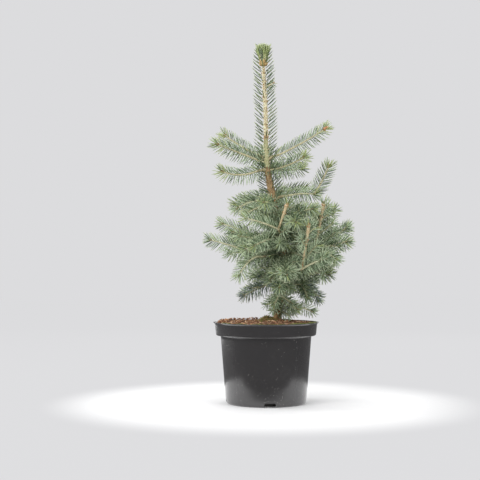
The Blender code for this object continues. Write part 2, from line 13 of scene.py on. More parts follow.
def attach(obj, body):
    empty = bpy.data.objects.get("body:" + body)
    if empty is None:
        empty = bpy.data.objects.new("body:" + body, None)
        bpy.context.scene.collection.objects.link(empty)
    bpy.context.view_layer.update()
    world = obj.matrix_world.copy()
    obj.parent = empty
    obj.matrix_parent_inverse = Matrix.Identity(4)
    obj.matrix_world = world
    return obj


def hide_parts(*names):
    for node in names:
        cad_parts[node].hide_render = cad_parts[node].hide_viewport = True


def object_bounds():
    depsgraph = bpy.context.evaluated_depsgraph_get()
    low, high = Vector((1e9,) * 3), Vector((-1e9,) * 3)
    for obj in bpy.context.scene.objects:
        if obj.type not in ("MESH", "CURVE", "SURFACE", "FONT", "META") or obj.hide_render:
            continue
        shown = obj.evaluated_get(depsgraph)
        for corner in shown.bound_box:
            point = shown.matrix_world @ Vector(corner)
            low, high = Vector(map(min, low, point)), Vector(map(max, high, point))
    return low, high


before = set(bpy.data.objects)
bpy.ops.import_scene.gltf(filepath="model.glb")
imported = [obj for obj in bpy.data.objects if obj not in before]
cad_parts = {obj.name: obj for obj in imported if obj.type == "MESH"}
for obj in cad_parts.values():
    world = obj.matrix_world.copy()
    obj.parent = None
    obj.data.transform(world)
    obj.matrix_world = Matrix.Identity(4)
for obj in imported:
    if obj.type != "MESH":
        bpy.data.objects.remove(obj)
cad_low, cad_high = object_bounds()

# ---------------------------------------------------------------------------------------------
# Camera. It stands two metres in front of the plant, a hand's width to its left and level with
# the foot of the crown, and looks very slightly up.

CAMERA_PLACE = (-0.048, -1.966, 0.252)
CAMERA_PITCH = math.radians(1.401)
SENSOR_WIDTH_MM = 36.0
LENS_MM = 79.73
CLIP_END = 50.0


def linked(name, data):
    """A new object in the scene, from a mesh, a lamp or a camera."""
    thing = bpy.data.objects.new(name, data)
    bpy.context.scene.collection.objects.link(thing)
    return thing


camera_data = bpy.data.cameras.new("camera")
camera_data.sensor_width = SENSOR_WIDTH_MM
camera_data.lens = LENS_MM
camera_data.clip_end = CLIP_END
camera = linked("camera", camera_data)
camera.location = CAMERA_PLACE
camera.rotation_euler = (math.pi / 2 + CAMERA_PITCH, 0.0, 0.0)
bpy.context.scene.camera = camera

# ---------------------------------------------------------------------------------------------
# Studio. A white table top under the pot fades into a pale grey sweep, which glows as evenly as
# the paper backdrop, and soft boxes stand round it. None of it belongs to the plant.

FLOOR_RADIUS = 6.0
FLOOR_SIDES = 96
FLOOR_ROUGHNESS = 0.8
TABLE_RADIUS = 0.23
TABLE_FADE = 0.42
TABLE_WHITE = (0.86, 0.86, 0.86, 1.0)
SWEEP_PAINT = (0.02, 0.02, 0.02, 1.0)
BACKDROP_GREY = (0.716, 0.716, 0.730, 1.0)
BLACK = (0.0, 0.0, 0.0, 1.0)
SWEEP_GLOW = 0.985
# painted reflection: in the pot's sheen the table glows brighter than white, with sharp edges and a dark
# front, and the sweep dims
SWEEP_IN_GLOSS = 0.25
TABLE_GLOW_IN_GLOSS = (2.4, 2.4, 2.4, 1.0)
TABLE_IN_GLOSS = (0.225, 0.25)           # where the white ends in the pot's sheen: round it
TABLE_FRONT_IN_GLOSS = (-0.125, -0.100)  # and in front of it
ROOM_LIGHT = 0.62
ROOM_IN_GLOSS = 0.22
# name: place, aimed at, width, height, watts
SOFT_BOXES = {
    "key": ((-1.25, -1.55, 1.45), (0.0, 0.0, 0.32), 1.3, 1.5, 26.0),
    "fill": ((1.45, -1.35, 1.05), (0.0, 0.0, 0.30), 1.1, 1.5, 15.0),
    "overhead": ((0.0, 0.15, 1.95), (0.0, 0.0, 0.30), 1.6, 1.6, 18.0),
    "behind": ((0.3, 1.7, 1.10), (0.0, 0.0, 0.35), 1.8, 1.4, 14.0),
    "strip": ((-1.60, 0.35, 0.55), (0.0, 0.0, 0.20), 0.5, 1.6, 14.0),
    "low_left": ((-0.85, 0.80, 0.06), (0.0, 0.0, 0.06), 1.1, 0.12, 0.70),
}
ONLY_IN_SHEEN = "low_left"

floor_mesh = bpy.data.meshes.new("floor")
floor_shape = bmesh.new()
bmesh.ops.create_circle(floor_shape, cap_ends=True, segments=FLOOR_SIDES, radius=FLOOR_RADIUS)
floor_shape.to_mesh(floor_mesh)
floor_shape.free()
floor = linked("floor", floor_mesh)


def blank_material(name):
    """A material with its node tree and its Principled shader at hand."""
    material = bpy.data.materials.new(name)
    material.use_nodes = True
    return material, material.node_tree, material.node_tree.nodes["Principled BSDF"]


def wire(tree, node, inputs):
    """Gives each named input of a node its value, or links it to the socket that feeds it."""
    for name, value in inputs.items():
        if isinstance(value, bpy.types.NodeSocket):
            tree.links.new(value, node.inputs[name])
        else:
            node.inputs[name].default_value = value


def range_node(tree, value, low, high, to_low, to_high, smooth=False):
    """A value brought from one range into another, and kept inside it."""
    node = tree.nodes.new("ShaderNodeMapRange")
    node.interpolation_type = "SMOOTHSTEP" if smooth else "LINEAR"
    wire(tree, node, {"Value": value, "From Min": low, "From Max": high, "To Min": to_low, "To Max": to_high})
    return node.outputs["Result"]


def mix_node(tree, factor, a, b, kind="RGBA"):
    """Two colours, or two numbers, mixed by a factor."""
    node = tree.nodes.new("ShaderNodeMix")
    node.data_type = kind
    wire(tree, node, {"Factor": factor, "A": a, "B": b})
    return node.outputs["Result"]


def math_node(tree, operation, a, b):
    """A sum, product or other pairing of two numbers."""
    node = tree.nodes.new("ShaderNodeMath")
    node.operation = operation
    wire(tree, node, {0: a, 1: b})
    return node.outputs["Value"]


floor_look, tree, shader = blank_material("painted_table")
place = tree.nodes.new("ShaderNodeNewGeometry").outputs["Position"]
in_gloss = tree.nodes.new("ShaderNodeLightPath").outputs["Is Glossy Ray"]
spread = tree.nodes.new("ShaderNodeVectorMath")
spread.operation = "LENGTH"
wire(tree, spread, {0: place})
parts = tree.nodes.new("ShaderNodeSeparateXYZ")
wire(tree, parts, {"Vector": place})
fade = range_node(tree, spread.outputs["Value"], TABLE_RADIUS, TABLE_FADE, 0.0, 1.0, True)
# painted reflection: only mirror rays see the table's glow and its sharp edges
past_rim = range_node(tree, spread.outputs["Value"], *TABLE_IN_GLOSS, 0.0, 1.0, True)
past_front = range_node(tree, parts.outputs["Y"], *TABLE_FRONT_IN_GLOSS, 1.0, 0.0)
past_white = math_node(tree, "MAXIMUM", past_rim, past_front)
share = mix_node(tree, in_gloss, fade, past_white, "FLOAT")
table_glow = mix_node(tree, in_gloss, BLACK, TABLE_GLOW_IN_GLOSS)
wire(tree, shader, {
    "Base Color": mix_node(tree, share, TABLE_WHITE, SWEEP_PAINT),
    "Emission Color": mix_node(tree, share, table_glow, BACKDROP_GREY),
    "Emission Strength": range_node(tree, in_gloss, 0.0, 1.0, SWEEP_GLOW, SWEEP_IN_GLOSS),
    "Roughness": FLOOR_ROUGHNESS,
    "Specular IOR Level": 0.0,
})
floor.data.materials.append(floor_look)

room = bpy.data.worlds.new("room")
room.use_nodes = True
bpy.context.scene.world = room
tree = room.node_tree
ray = tree.nodes.new("ShaderNodeLightPath")
seen = tree.nodes["Background"]
wire(tree, seen, {"Color": BACKDROP_GREY})
room_light = tree.nodes.new("ShaderNodeBackground")
wire(tree, room_light, {"Color": BACKDROP_GREY, "Strength": ROOM_LIGHT})
for kind, strength in (("Is Glossy Ray", ROOM_IN_GLOSS), ("Is Camera Ray", None)):
    special = seen
    if strength:
        special = tree.nodes.new("ShaderNodeBackground")
        wire(tree, special, {"Color": BACKDROP_GREY, "Strength": strength})
    mixed = tree.nodes.new("ShaderNodeMixShader")
    wire(tree, mixed, {"Fac": ray.outputs[kind], 1: room_light.outputs[0], 2: special.outputs[0]})
    room_light = mixed
wire(tree, tree.nodes["World Output"], {"Surface": room_light.outputs["Shader"]})

for name, (spot, target, width, height, watts) in SOFT_BOXES.items():
    lamp = bpy.data.lights.new(name, "AREA")
    lamp.shape = "RECTANGLE"
    lamp.size = width
    lamp.size_y = height
    lamp.energy = watts
    box = linked(name, lamp)
    box.location = spot
    box.rotation_euler = (Vector(target) - Vector(spot)).to_track_quat("-Z", "Y").to_euler()
    box.visible_diffuse = name != ONLY_IN_SHEEN

bpy.context.scene.view_settings.view_transform = "Standard"

# ---------------------------------------------------------------------------------------------
# Pot. A black polypropylene nursery container, injection moulded in one piece: a tapering wall,
# a wide stepped rim with a thin flared lip, and drain notches round its foot.

POT_SIDES = 168
POT_HEIGHT = 0.1490
WALL = 0.0020
FOOT_R = 0.0740
FOOT_ROUND = 0.0040
SHOULDER_R = 0.0836
RIM_FOOT_Z = 0.1245
RIM_LOW_R = 0.0918
RIM_R = 0.0942
RIM_ROUND = 0.0030
LIP_R = 0.0972
LIP_FOOT_Z = POT_HEIGHT - 0.0035
LIP_EDGE = 0.0007                       # rounding of the lip's thin edge
LIP_WORN_Z = 0.1458                     # the lip above here is worn dull
SET_BACK = 0.00012                      # of the wall's lowest band
NOTCHES = 4
NOTCH_WIDTH = 0.020
NOTCH_HEIGHT = 0.0080
NOTCH_DEPTH = 0.016
NOTCH_BEARING = math.radians(-85.8)
NOTCH_SPLAY = 0.0015
NOTCH_ROUND = 0.0022
CUTTER_OVER = 0.002                     # how far the notches' cutter stands out of the pot
SHARP_ABOVE = math.radians(34)
BASE_STEPS = ((0.066, 0.0), (0.0652, 0.0009), (0.0400, 0.0009), (0.0392, 0.0), (0.0, 0.0))
PLASTIC = (0.0290, 0.0272, 0.0280, 1.0)
PLASTIC_SCUFF = (0.0480, 0.0455, 0.0460, 1.0)
DUST = (0.56, 0.54, 0.50, 1.0)


def wall_r(z):
    return FOOT_R + (SHOULDER_R - FOOT_R) * z / RIM_FOOT_Z


def corner(centre_r, centre_z, radius, start, end, steps):
    """Points of a rounded corner in the pot's profile, between two angles in degrees."""
    angles = np.radians(np.linspace(start, end, steps + 1))
    return [(centre_r + radius * math.cos(a), centre_z + radius * math.sin(a)) for a in angles]


def circle(r, z, sides):
    angles = [2 * math.pi * i / sides for i in range(sides)]
    return [(r * math.cos(a), r * math.sin(a), z) for a in angles]


def capped_rings(rings, sides):
    """Faces round a stack of rings of points, and fans to the foot's and the tip's points after them."""
    foot = rings * sides
    pairs = [(i, (i + 1) % sides) for i in range(sides)]
    faces = []
    for a in range(0, foot - sides, sides):
        faces += [(a + i, a + j, a + sides + j, a + sides + i) for i, j in pairs]
    faces += [(foot, j, i) for i, j in pairs]
    return faces + [(foot + 1, foot - sides + i, foot - sides + j) for i, j in pairs]


def mesh_of(name, points, faces, tints=None, smooth=True):
    """A mesh from arrays of points and faces, with a material index for each face."""
    mesh = bpy.data.meshes.new(name)
    mesh.from_pydata(np.asarray(points).tolist(), [], faces)
    if tints is not None:
        mesh.polygons.foreach_set("material_index", np.asarray(tints, dtype=np.int32))
    if smooth:
        mesh.shade_smooth()
    return mesh


inside = [
    (0.0, WALL),
    (wall_r(0.0) - WALL - FOOT_ROUND, WALL),
    (wall_r(0.006) - WALL, 0.006),
    (wall_r(RIM_FOOT_Z) - WALL, RIM_FOOT_Z),
    (RIM_LOW_R - WALL, RIM_FOOT_Z + 2 * WALL),
    (RIM_R - WALL, LIP_FOOT_Z - 0.0010),
    (RIM_R - WALL + 0.0004, LIP_FOOT_Z),
    (LIP_R - 0.0022, POT_HEIGHT - LIP_EDGE),
    (LIP_R - 0.0017, POT_HEIGHT - 0.0001),
]
lip = corner(LIP_R - LIP_EDGE, POT_HEIGHT - LIP_EDGE, LIP_EDGE, 90, -50, 6)
rim = [
    (RIM_R + 0.0006, LIP_FOOT_Z + 0.0009),
    (RIM_R + 0.0001, LIP_FOOT_Z),
    (RIM_R - 0.0002, LIP_FOOT_Z - 0.0012),
    (RIM_LOW_R + 0.0007, RIM_FOOT_Z + RIM_ROUND + 0.0012),
]
rim += corner(RIM_LOW_R + 0.0005 - RIM_ROUND, RIM_FOOT_Z + RIM_ROUND, RIM_ROUND, 0, -90, 7)
under_rim = [
    (SHOULDER_R + 0.0016, RIM_FOOT_Z - 0.0001),
    (SHOULDER_R + 0.0007, RIM_FOOT_Z - 0.0006),
    (SHOULDER_R - 0.0001, RIM_FOOT_Z - 0.0016),
]
wall = [(wall_r(z), z) for z in (0.118, 0.090, 0.060, 0.0306)]
wall += [(wall_r(z) - SET_BACK, z) for z in (0.0300, 0.0120)]
foot = corner(FOOT_R - FOOT_ROUND, FOOT_ROUND, FOOT_ROUND, 0, -90, 6)
profile = (inside + lip + rim + under_rim + wall + foot + list(BASE_STEPS))[::-1]
points = [point for r, z in profile[1:-1] for point in circle(r, z, POT_SIDES)]
points += [(0.0, 0.0, profile[0][1]), (0.0, 0.0, profile[-1][1])]
pot = linked("nursery_pot", mesh_of("nursery_pot", points, capped_rings(len(profile) - 2, POT_SIDES)))

half, straight_to = NOTCH_WIDTH / 2, NOTCH_HEIGHT - NOTCH_ROUND
arch = [(half + NOTCH_SPLAY, -CUTTER_OVER), (half + 0.0003, straight_to)]
arch += corner(half - NOTCH_ROUND, straight_to, NOTCH_ROUND, 15, 90, 4)
arch += [(-x, z) for x, z in reversed(arch)]
notch_shape = bmesh.new()
for index in range(NOTCHES):
    bearing = NOTCH_BEARING + 2 * math.pi * index / NOTCHES
    out = Vector((math.cos(bearing), math.sin(bearing), 0.0))
    side = Vector((-out.y, out.x, 0.0))
    rings = []
    for r in (FOOT_R + CUTTER_OVER - NOTCH_DEPTH, FOOT_R + CUTTER_OVER):
        rings.append([notch_shape.verts.new(out * r + side * x + Vector((0.0, 0.0, z))) for x, z in arch])
    notch_shape.faces.new(rings[0])
    notch_shape.faces.new(list(reversed(rings[1])))
    for i in range(len(arch)):
        j = (i + 1) % len(arch)
        notch_shape.faces.new((rings[0][j], rings[0][i], rings[1][i], rings[1][j]))
bmesh.ops.recalc_face_normals(notch_shape, faces=notch_shape.faces)
notch_mesh = bpy.data.meshes.new("notches")
notch_shape.to_mesh(notch_mesh)
notch_shape.free()
notches = linked("notches", notch_mesh)
drill = pot.modifiers.new("notches", "BOOLEAN")
drill.operation = "DIFFERENCE"
drill.solver = "EXACT"
drill.object = notches
drilled = bpy.data.meshes.new_from_object(pot.evaluated_get(bpy.context.evaluated_depsgraph_get()))
pot.modifiers.clear()
pot.data = drilled
bpy.data.objects.remove(notches, do_unlink=True)
pot.data.shade_smooth()
pot.data.set_sharp_from_angle(angle=SHARP_ABOVE)
for face in pot.data.polygons:
    face.material_index = 1 if face.center.z > LIP_WORN_Z else 0


def object_space(tree):
    return tree.nodes.new("ShaderNodeTexCoord").outputs["Object"]


def noise_node(tree, vector, scale, detail, roughness=0.5, distortion=0.0):
    """A noise texture's value on a vector."""
    node = tree.nodes.new("ShaderNodeTexNoise")
    wire(tree, node, {"Vector": vector, "Scale": scale, "Detail": detail})
    wire(tree, node, {"Roughness": roughness, "Distortion": distortion})
    return node.outputs["Fac"]


def cells_node(tree, vector, scale):
    """A cell texture on a vector: each cell's colour, and the distance from its middle."""
    node = tree.nodes.new("ShaderNodeTexVoronoi")
    wire(tree, node, {"Vector": vector, "Scale": scale})
    return node.outputs


def bump_node(tree, height, distance, strength):
    """A bump from a height, in metres."""
    node = tree.nodes.new("ShaderNodeBump")
    wire(tree, node, {"Height": height, "Distance": distance, "Strength": strength})
    return node.outputs["Normal"]


def new_group(name, inputs, outputs):
    """A node group with its sockets, what it is given, and the node that takes its results."""
    group = bpy.data.node_groups.new(name, "ShaderNodeTree")
    for way, sockets in (("INPUT", inputs), ("OUTPUT", outputs)):
        for label, kind in sockets.items():
            group.interface.new_socket(label, in_out=way, socket_type="NodeSocket" + kind)
    return group, group.nodes.new("NodeGroupInput").outputs, group.nodes.new("NodeGroupOutput")


def placed(tree, group, inputs):
    """A node group's outputs in a material, with that material's own values."""
    node = tree.nodes.new("ShaderNodeGroup")
    node.node_tree = group
    wire(tree, node, inputs)
    return node.outputs


scuffs, given, result = new_group(
    "scuffs", {"From": "Float", "To": "Float", "Most": "Float"}, {"Color": "Color", "Wear": "Float"}
)
wear = noise_node(scuffs, object_space(scuffs), 60.0, 6.0, 0.75, 1.2)
worn = range_node(scuffs, wear, given["From"], given["To"], 0.0, given["Most"], True)
wire(scuffs, result, {"Color": mix_node(scuffs, worn, PLASTIC, PLASTIC_SCUFF), "Wear": wear})

plastic, tree, shader = blank_material("moulded_black_plastic")
where = object_space(tree)
smears = noise_node(tree, where, 14.0, 4.0, 0.6, 0.4)
grain = noise_node(tree, where, 1500.0, 3.0)
chance = noise_node(tree, where, 38.0, 2.0)
cells = cells_node(tree, where, 430.0)
height = tree.nodes.new("ShaderNodeSeparateXYZ")
wire(tree, height, {"Vector": where})
low_down = range_node(tree, height.outputs["Z"], 0.02, 0.12, 0.045, -0.02)
drawn = tree.nodes.new("ShaderNodeSeparateColor")
wire(tree, drawn, {"Color": cells["Color"]})
odds = math_node(tree, "ADD", drawn.outputs["Red"], chance)
likely = math_node(tree, "ADD", math_node(tree, "MULTIPLY", odds, 0.5), low_down)
speck_size = range_node(tree, likely, 0.66, 0.77, 0.0, 0.16)
speck = math_node(tree, "LESS_THAN", cells["Distance"], speck_size)
scuffed = placed(tree, scuffs, {"From": 0.50, "To": 0.78, "Most": 0.55})
sheen = range_node(tree, smears, 0.3, 0.7, 0.17, 0.27)
fine = math_node(tree, "ADD", grain, math_node(tree, "MULTIPLY", smears, 1.5))
wire(tree, shader, {
    "Base Color": mix_node(tree, speck, scuffed["Color"], DUST),
    "Roughness": math_node(tree, "ADD", sheen, math_node(tree, "MULTIPLY", speck, 0.4)),
    "Normal": bump_node(tree, fine, 0.0001, 0.20),
    "Specular IOR Level": 0.80,
})
lip_plastic, tree, shader = blank_material("worn_lip_plastic")
scuffed = placed(tree, scuffs, {"From": 0.45, "To": 0.75, "Most": 0.6})
wire(tree, shader, {
    "Base Color": scuffed["Color"],
    "Roughness": range_node(tree, scuffed["Wear"], 0.3, 0.7, 0.45, 0.65),
    "Specular IOR Level": 0.18,
})
pot.data.materials.clear()
pot.data.materials.append(plastic)
pot.data.materials.append(lip_plastic)
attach(pot, "root")
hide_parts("pot")

# ---------------------------------------------------------------------------------------------
# Potting soil. Composted bark and peat fills the pot to just under its lip and rises a little
# to the trunk. Loose bark chips and crumbs lie on it, with moss round the trunk and by the rim.

SOIL_EDGE_R = 0.0919
SOIL_EDGE_Z = 0.1476
SOIL_TOP_Z = 0.1520
SOIL_RINGS = 64
SOIL_SIDES = 200
SOIL_LUMP = (95.0, 0.3, 0.0014)         # noise scale, its layer, height
SOIL_GRIT = (420.0, 0.7, 0.0007)
SOIL_GAP = 0.0003                       # between the soil and the pot's wall
MOUND_R = 0.019
MOUND_SKIRT_R = 0.060
TRUNK_FOOT_X = 0.0192
SOIL_SEED = 7
# painted shade: the soil's sides and foot are near black, for the dark inside of the pot that shows through
# the drain notches
SOIL_SIDE_SHADE = (0.006, 0.005, 0.004)


def soil_height(x, y):
    """The soil's surface: a low mound round the trunk's foot, with lumps and grit on it."""
    away = math.hypot(x - TRUNK_FOOT_X, y)
    share = min(max((away - MOUND_R) / (MOUND_SKIRT_R - MOUND_R), 0.0), 1.0)
    mound = 1.0 - share * share * (3.0 - 2.0 * share)
    height = SOIL_EDGE_Z + (SOIL_TOP_Z - SOIL_EDGE_Z) * mound
    for scale, layer, relief in (SOIL_LUMP, SOIL_GRIT):
        height += relief * noise.noise(Vector((x, y, layer)) * scale)
    return height


skirt = (
    (FOOT_R - NOTCH_DEPTH + 0.0015, 0.0026),
    (wall_r(0.0130) - WALL - SOIL_GAP, 0.0130),
    (SHOULDER_R - WALL - SOIL_GAP, RIM_FOOT_Z + 0.0003),
    (RIM_LOW_R - WALL - SOIL_GAP, RIM_FOOT_Z + 0.0045),
    (SOIL_EDGE_R, SOIL_EDGE_Z - 0.0020),
)
points = [point for r, z in skirt for point in circle(r, z, SOIL_SIDES)]
for ring in range(SOIL_RINGS, 0, -1):
    level = circle(SOIL_EDGE_R * ring / SOIL_RINGS, 0.0, SOIL_SIDES)
    points += [(x, y, soil_height(x, y)) for x, y, _ in level]
points += [(0.0, 0.0, skirt[0][1]), (0.0, 0.0, soil_height(0.0, 0.0))]
# the sides and the foot take the painted shade (slot 1), the top takes the bark (slot 0)
tints = np.repeat((1, 0, 1, 0), np.array((len(skirt), SOIL_RINGS - 1, 1, 1)) * SOIL_SIDES)
faces = capped_rings(len(skirt) + SOIL_RINGS, SOIL_SIDES)
soil = linked("potting_soil", mesh_of("potting_soil", points, faces, tints))

soil_look, tree, shader = blank_material("composted_bark")
where = object_space(tree)
lumps = noise_node(tree, where, 240.0, 6.0, 0.7)
crumbs = cells_node(tree, where, 520.0)["Distance"]
shade = range_node(tree, lumps, 0.35, 0.68, 0.0, 1.0)
dark_bark = mix_node(tree, shade, (0.060, 0.030, 0.017, 1.0), (0.270, 0.125, 0.062, 1.0))
pale = range_node(tree, crumbs, 0.0, 0.5, 0.55, 0.0)
wire(tree, shader, {
    "Base Color": mix_node(tree, pale, dark_bark, (0.400, 0.200, 0.095, 1.0)),
    "Normal": bump_node(tree, math_node(tree, "SUBTRACT", lumps, crumbs), 0.0006, 0.9),
    "Roughness": 0.95,
})
soil.data.materials.append(soil_look)

patches, given, result = new_group(
    "dull_patches",
    {"Scale": "Float", "Detail": "Float", "Fineness": "Float", "Smooth": "Float", "Rough": "Float"},
    {"Roughness": "Float", "Height": "Float"},
)
mottle = noise_node(patches, object_space(patches), given["Scale"], given["Detail"], given["Fineness"])
dulled = range_node(patches, mottle, 0.3, 0.7, given["Smooth"], given["Rough"])
wire(patches, result, {"Roughness": dulled, "Height": mottle})


def patchy_material(name, tint, noise_values, roughness, bump=None):
    """One colour, whose gloss and relief change in patches. The bump has a depth and a strength."""
    material, tree, shader = blank_material(name)
    labels = ("Scale", "Detail", "Fineness", "Smooth", "Rough")
    patch = placed(tree, patches, dict(zip(labels, (*noise_values, *roughness))))
    wire(tree, shader, {"Base Color": (*tint, 1.0), "Roughness": patch["Roughness"]})
    if bump:
        wire(tree, shader, {"Normal": bump_node(tree, patch["Height"], *bump)})
    return material


# Painted shade: near-black soil that stands in for the shade inside the pot.
soil_side_shade_look = patchy_material("soil_sides_painted_shade", SOIL_SIDE_SHADE, (300.0, 4.0, 0.6), (0.8, 1.0), (0.0008, 0.8))
soil.data.materials.append(soil_side_shade_look)
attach(soil, "root")
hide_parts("soil")

# ---------------------------------------------------------------------------------------------
# Bark chips. Loose chips and crumbs of bark lie on the soil, flat or on edge, and the larger ones
# are heaped by the rim on one side. They aren't fixed to it.

CHIPS = 3600
CHIP_SIZE = (0.0012, 0.0066)
CHIP_SMALLNESS = 2.4                    # a power: how much commoner the small ones are
CHIP_STRETCH = ((0.7, 1.3), (0.4, 0.8), (0.2, 0.5))
CHIP_JITTER = 0.25
CHIP_FLATNESS = 0.45
CHIP_SUNK = 0.15                        # how high its middle lies, as a share of its size
CHIPS_OFF_TRUNK = 0.012
HEAPED_CHIPS = 260
HEAP_BEARINGS = (70.0, 190.0)
HEAP_OFF_EDGE = 0.004
HEAP_WIDTH = 0.014
HEAP_HEIGHT = 0.0045
HEAPED_SIZE = (0.6, 1.1)
CHIP_TINTS = (
    (0.440, 0.210, 0.105), (0.250, 0.110, 0.052), (0.090, 0.046, 0.026), (0.640, 0.430, 0.270)
)
CHIP_SHARES = (0.36, 0.20, 0.18, 0.26)
CHIP_CORNERS = np.array(
    [(1, 0, 0), (0, 1, 0), (-1, 0, 0), (0, -1, 0), (0.2, 0.1, 1), (-0.1, -0.2, -1),
     (0.7, 0.7, 0.45), (-0.7, 0.65, -0.4)]
)
CHIP_FACES = ((0, 6, 4), (6, 1, 4), (1, 2, 4), (2, 3, 4), (3, 0, 4), (6, 0, 1), (0, 5, 1),
              (1, 5, 7), (1, 7, 2), (7, 5, 2), (3, 2, 5), (0, 3, 5))


def unit_rows(rows):
    return rows / np.linalg.norm(rows, axis=1)[:, None]


rng = np.random.default_rng(SOIL_SEED)
spots = []
while len(spots) < CHIPS:
    x, y = rng.uniform(-SOIL_EDGE_R, SOIL_EDGE_R, 2)
    size = CHIP_SIZE[0] + (CHIP_SIZE[1] - CHIP_SIZE[0]) * rng.random() ** CHIP_SMALLNESS
    lift = 0.0
    if len(spots) < HEAPED_CHIPS:
        r = SOIL_EDGE_R - HEAP_OFF_EDGE - HEAP_WIDTH * rng.random() ** 1.5
        bearing = math.radians(rng.uniform(*HEAP_BEARINGS))
        x, y = r * math.cos(bearing), r * math.sin(bearing)
        size = CHIP_SIZE[1] * rng.uniform(*HEAPED_SIZE)
        lift = HEAP_HEIGHT * rng.random()
    off_trunk = math.hypot(x - TRUNK_FOOT_X, y) > CHIPS_OFF_TRUNK
    if math.hypot(x, y) < SOIL_EDGE_R - 0.7 * size and off_trunk:
        spots.append((x, y, soil_height(x, y) + CHIP_SUNK * size + lift, size))
spots = np.array(spots)
stretch = np.stack([rng.uniform(low, high, CHIPS) for low, high in CHIP_STRETCH], axis=1)
jitter = 1.0 + rng.uniform(-CHIP_JITTER, CHIP_JITTER, (CHIPS, len(CHIP_CORNERS), 1))
local = CHIP_CORNERS[None] * jitter * stretch[:, None, :] * spots[:, None, 3:4] * 0.5
first = unit_rows(rng.normal(size=(CHIPS, 3)))
second = unit_rows(np.cross(first, rng.normal(size=(CHIPS, 3))))
frames = np.stack([first, second, np.cross(first, second)], axis=1)
frames[:, :, 2] *= CHIP_FLATNESS
corners = np.einsum("nvk,nkj->nvj", local, frames) + spots[:, None, :3]
faces = np.array(CHIP_FACES)[None] + (np.arange(CHIPS) * len(CHIP_CORNERS))[:, None, None]
tints = np.repeat(rng.choice(len(CHIP_TINTS), CHIPS, p=CHIP_SHARES), len(CHIP_FACES))
points, faces = corners.reshape(-1, 3), faces.reshape(-1, 3).tolist()
chips = linked("bark_chips", mesh_of("bark_chips", points, faces, tints, smooth=False))
for index, tint in enumerate(CHIP_TINTS):
    look = patchy_material(f"bark_chip_{index}", tint, (900.0, 4.0, 0.7), (0.75, 1.0), (0.0002, 0.8))
    chips.data.materials.append(look)
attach(chips, "root")

# ---------------------------------------------------------------------------------------------
# Moss. Short tufts, brown, green and rust, grow on the soil round the trunk's foot, tallest in a
# clump at its left, and in a thin band by the rim.

MOSS_TINTS = ((0.110, 0.084, 0.028), (0.170, 0.200, 0.045), (0.340, 0.190, 0.075))
MOSS_SHARES = (0.46, 0.26, 0.28)
MOSS_BY_TRUNK = 1300
MOSS_BY_RIM = 520
MOSS_HEIGHT = (0.0014, 0.0034)
MOSS_CLUMP = (-0.0175, -0.003, 0.0070)  # middle from the trunk and spread of the tallest clump
MOSS_IN_CLUMP = 0.62
MOSS_SWELL = 3.9                        # how much taller it is there
MOSS_OFF_TRUNK = 0.0100
MOSS_ROUND_TRUNK = (0.0105, 0.020)      # nearest, and how far out
MOSS_OFF_EDGE = 0.0010
# share of the rim's moss, bearings from and to, width of the band
MOSS_DENSE = (math.radians(-62), math.radians(8), 0.008)
MOSS_SPARSE = (math.radians(-150), math.radians(-70), 0.003)
SPARSE_SHARE = 0.22
BROWN_BY_RIM = 0.3
BLADES = 4                              # in each tuft
BLADE_LEAN = 0.95
BLADE_HALF_WIDTH = 0.00046
BLADE_SCATTER = 0.0007
BLADE_SUNK = 0.0004
# a blade's points, as shares of its height and of its width both ways
BLADE_POINTS = ((0.0, 1.0, 0.0), (0.0, -0.5, 0.87), (0.0, -0.5, -0.87),
                (0.55, 1.5, 0.0), (0.55, -0.75, 1.3), (0.55, -0.75, -1.3), (1.0, 0.0, 0.0))
BLADE_FACES = ((0, 1, 4, 3), (3, 4, 6), (1, 2, 5, 4), (4, 5, 6), (2, 0, 3, 5), (5, 3, 6), (2, 1, 0))


class Heap:
    """A joined mesh that grows piece by piece, with a material index for each face."""

    def __init__(self):
        self.points, self.faces, self.tints, self.count = [], [], [], 0

    def add(self, points, faces, tint):
        self.faces += [tuple(corner + self.count for corner in face) for face in faces]
        self.tints += [tint] * len(faces)
        self.points.append(np.asarray(points))
        self.count += len(points)

    def piece(self, name):
        return linked(name, mesh_of(name, np.vstack(self.points), self.faces, self.tints))


tufts = []
while len(tufts) < MOSS_BY_TRUNK:
    if rng.random() < MOSS_IN_CLUMP:
        x, y = rng.normal(MOSS_CLUMP[:2], MOSS_CLUMP[2])
    else:
        a = rng.uniform(0, 2 * math.pi)
        away = MOSS_ROUND_TRUNK[0] + MOSS_ROUND_TRUNK[1] * rng.random() ** 2.4
        x, y = away * math.cos(a), away * math.sin(a)
    if math.hypot(x, y) < MOSS_OFF_TRUNK:
        continue
    off = math.hypot(x - MOSS_CLUMP[0], y - MOSS_CLUMP[1]) / MOSS_CLUMP[2]
    tall = 1.0 + (MOSS_SWELL - 1.0) * math.exp(-off * off / 3.0) * rng.uniform(0.5, 1.0)
    tufts.append((TRUNK_FOOT_X + x, y, int(rng.choice(3, p=MOSS_SHARES)), tall))
while len(tufts) < MOSS_BY_TRUNK + MOSS_BY_RIM:
    start, end, band = MOSS_SPARSE if rng.random() < SPARSE_SHARE else MOSS_DENSE
    a = rng.uniform(start, end)
    r = SOIL_EDGE_R - MOSS_OFF_EDGE - band * rng.random() ** 2
    tufts.append((r * math.cos(a), r * math.sin(a), 0 if rng.random() < BROWN_BY_RIM else 1, 1.0))
moss_heap = Heap()
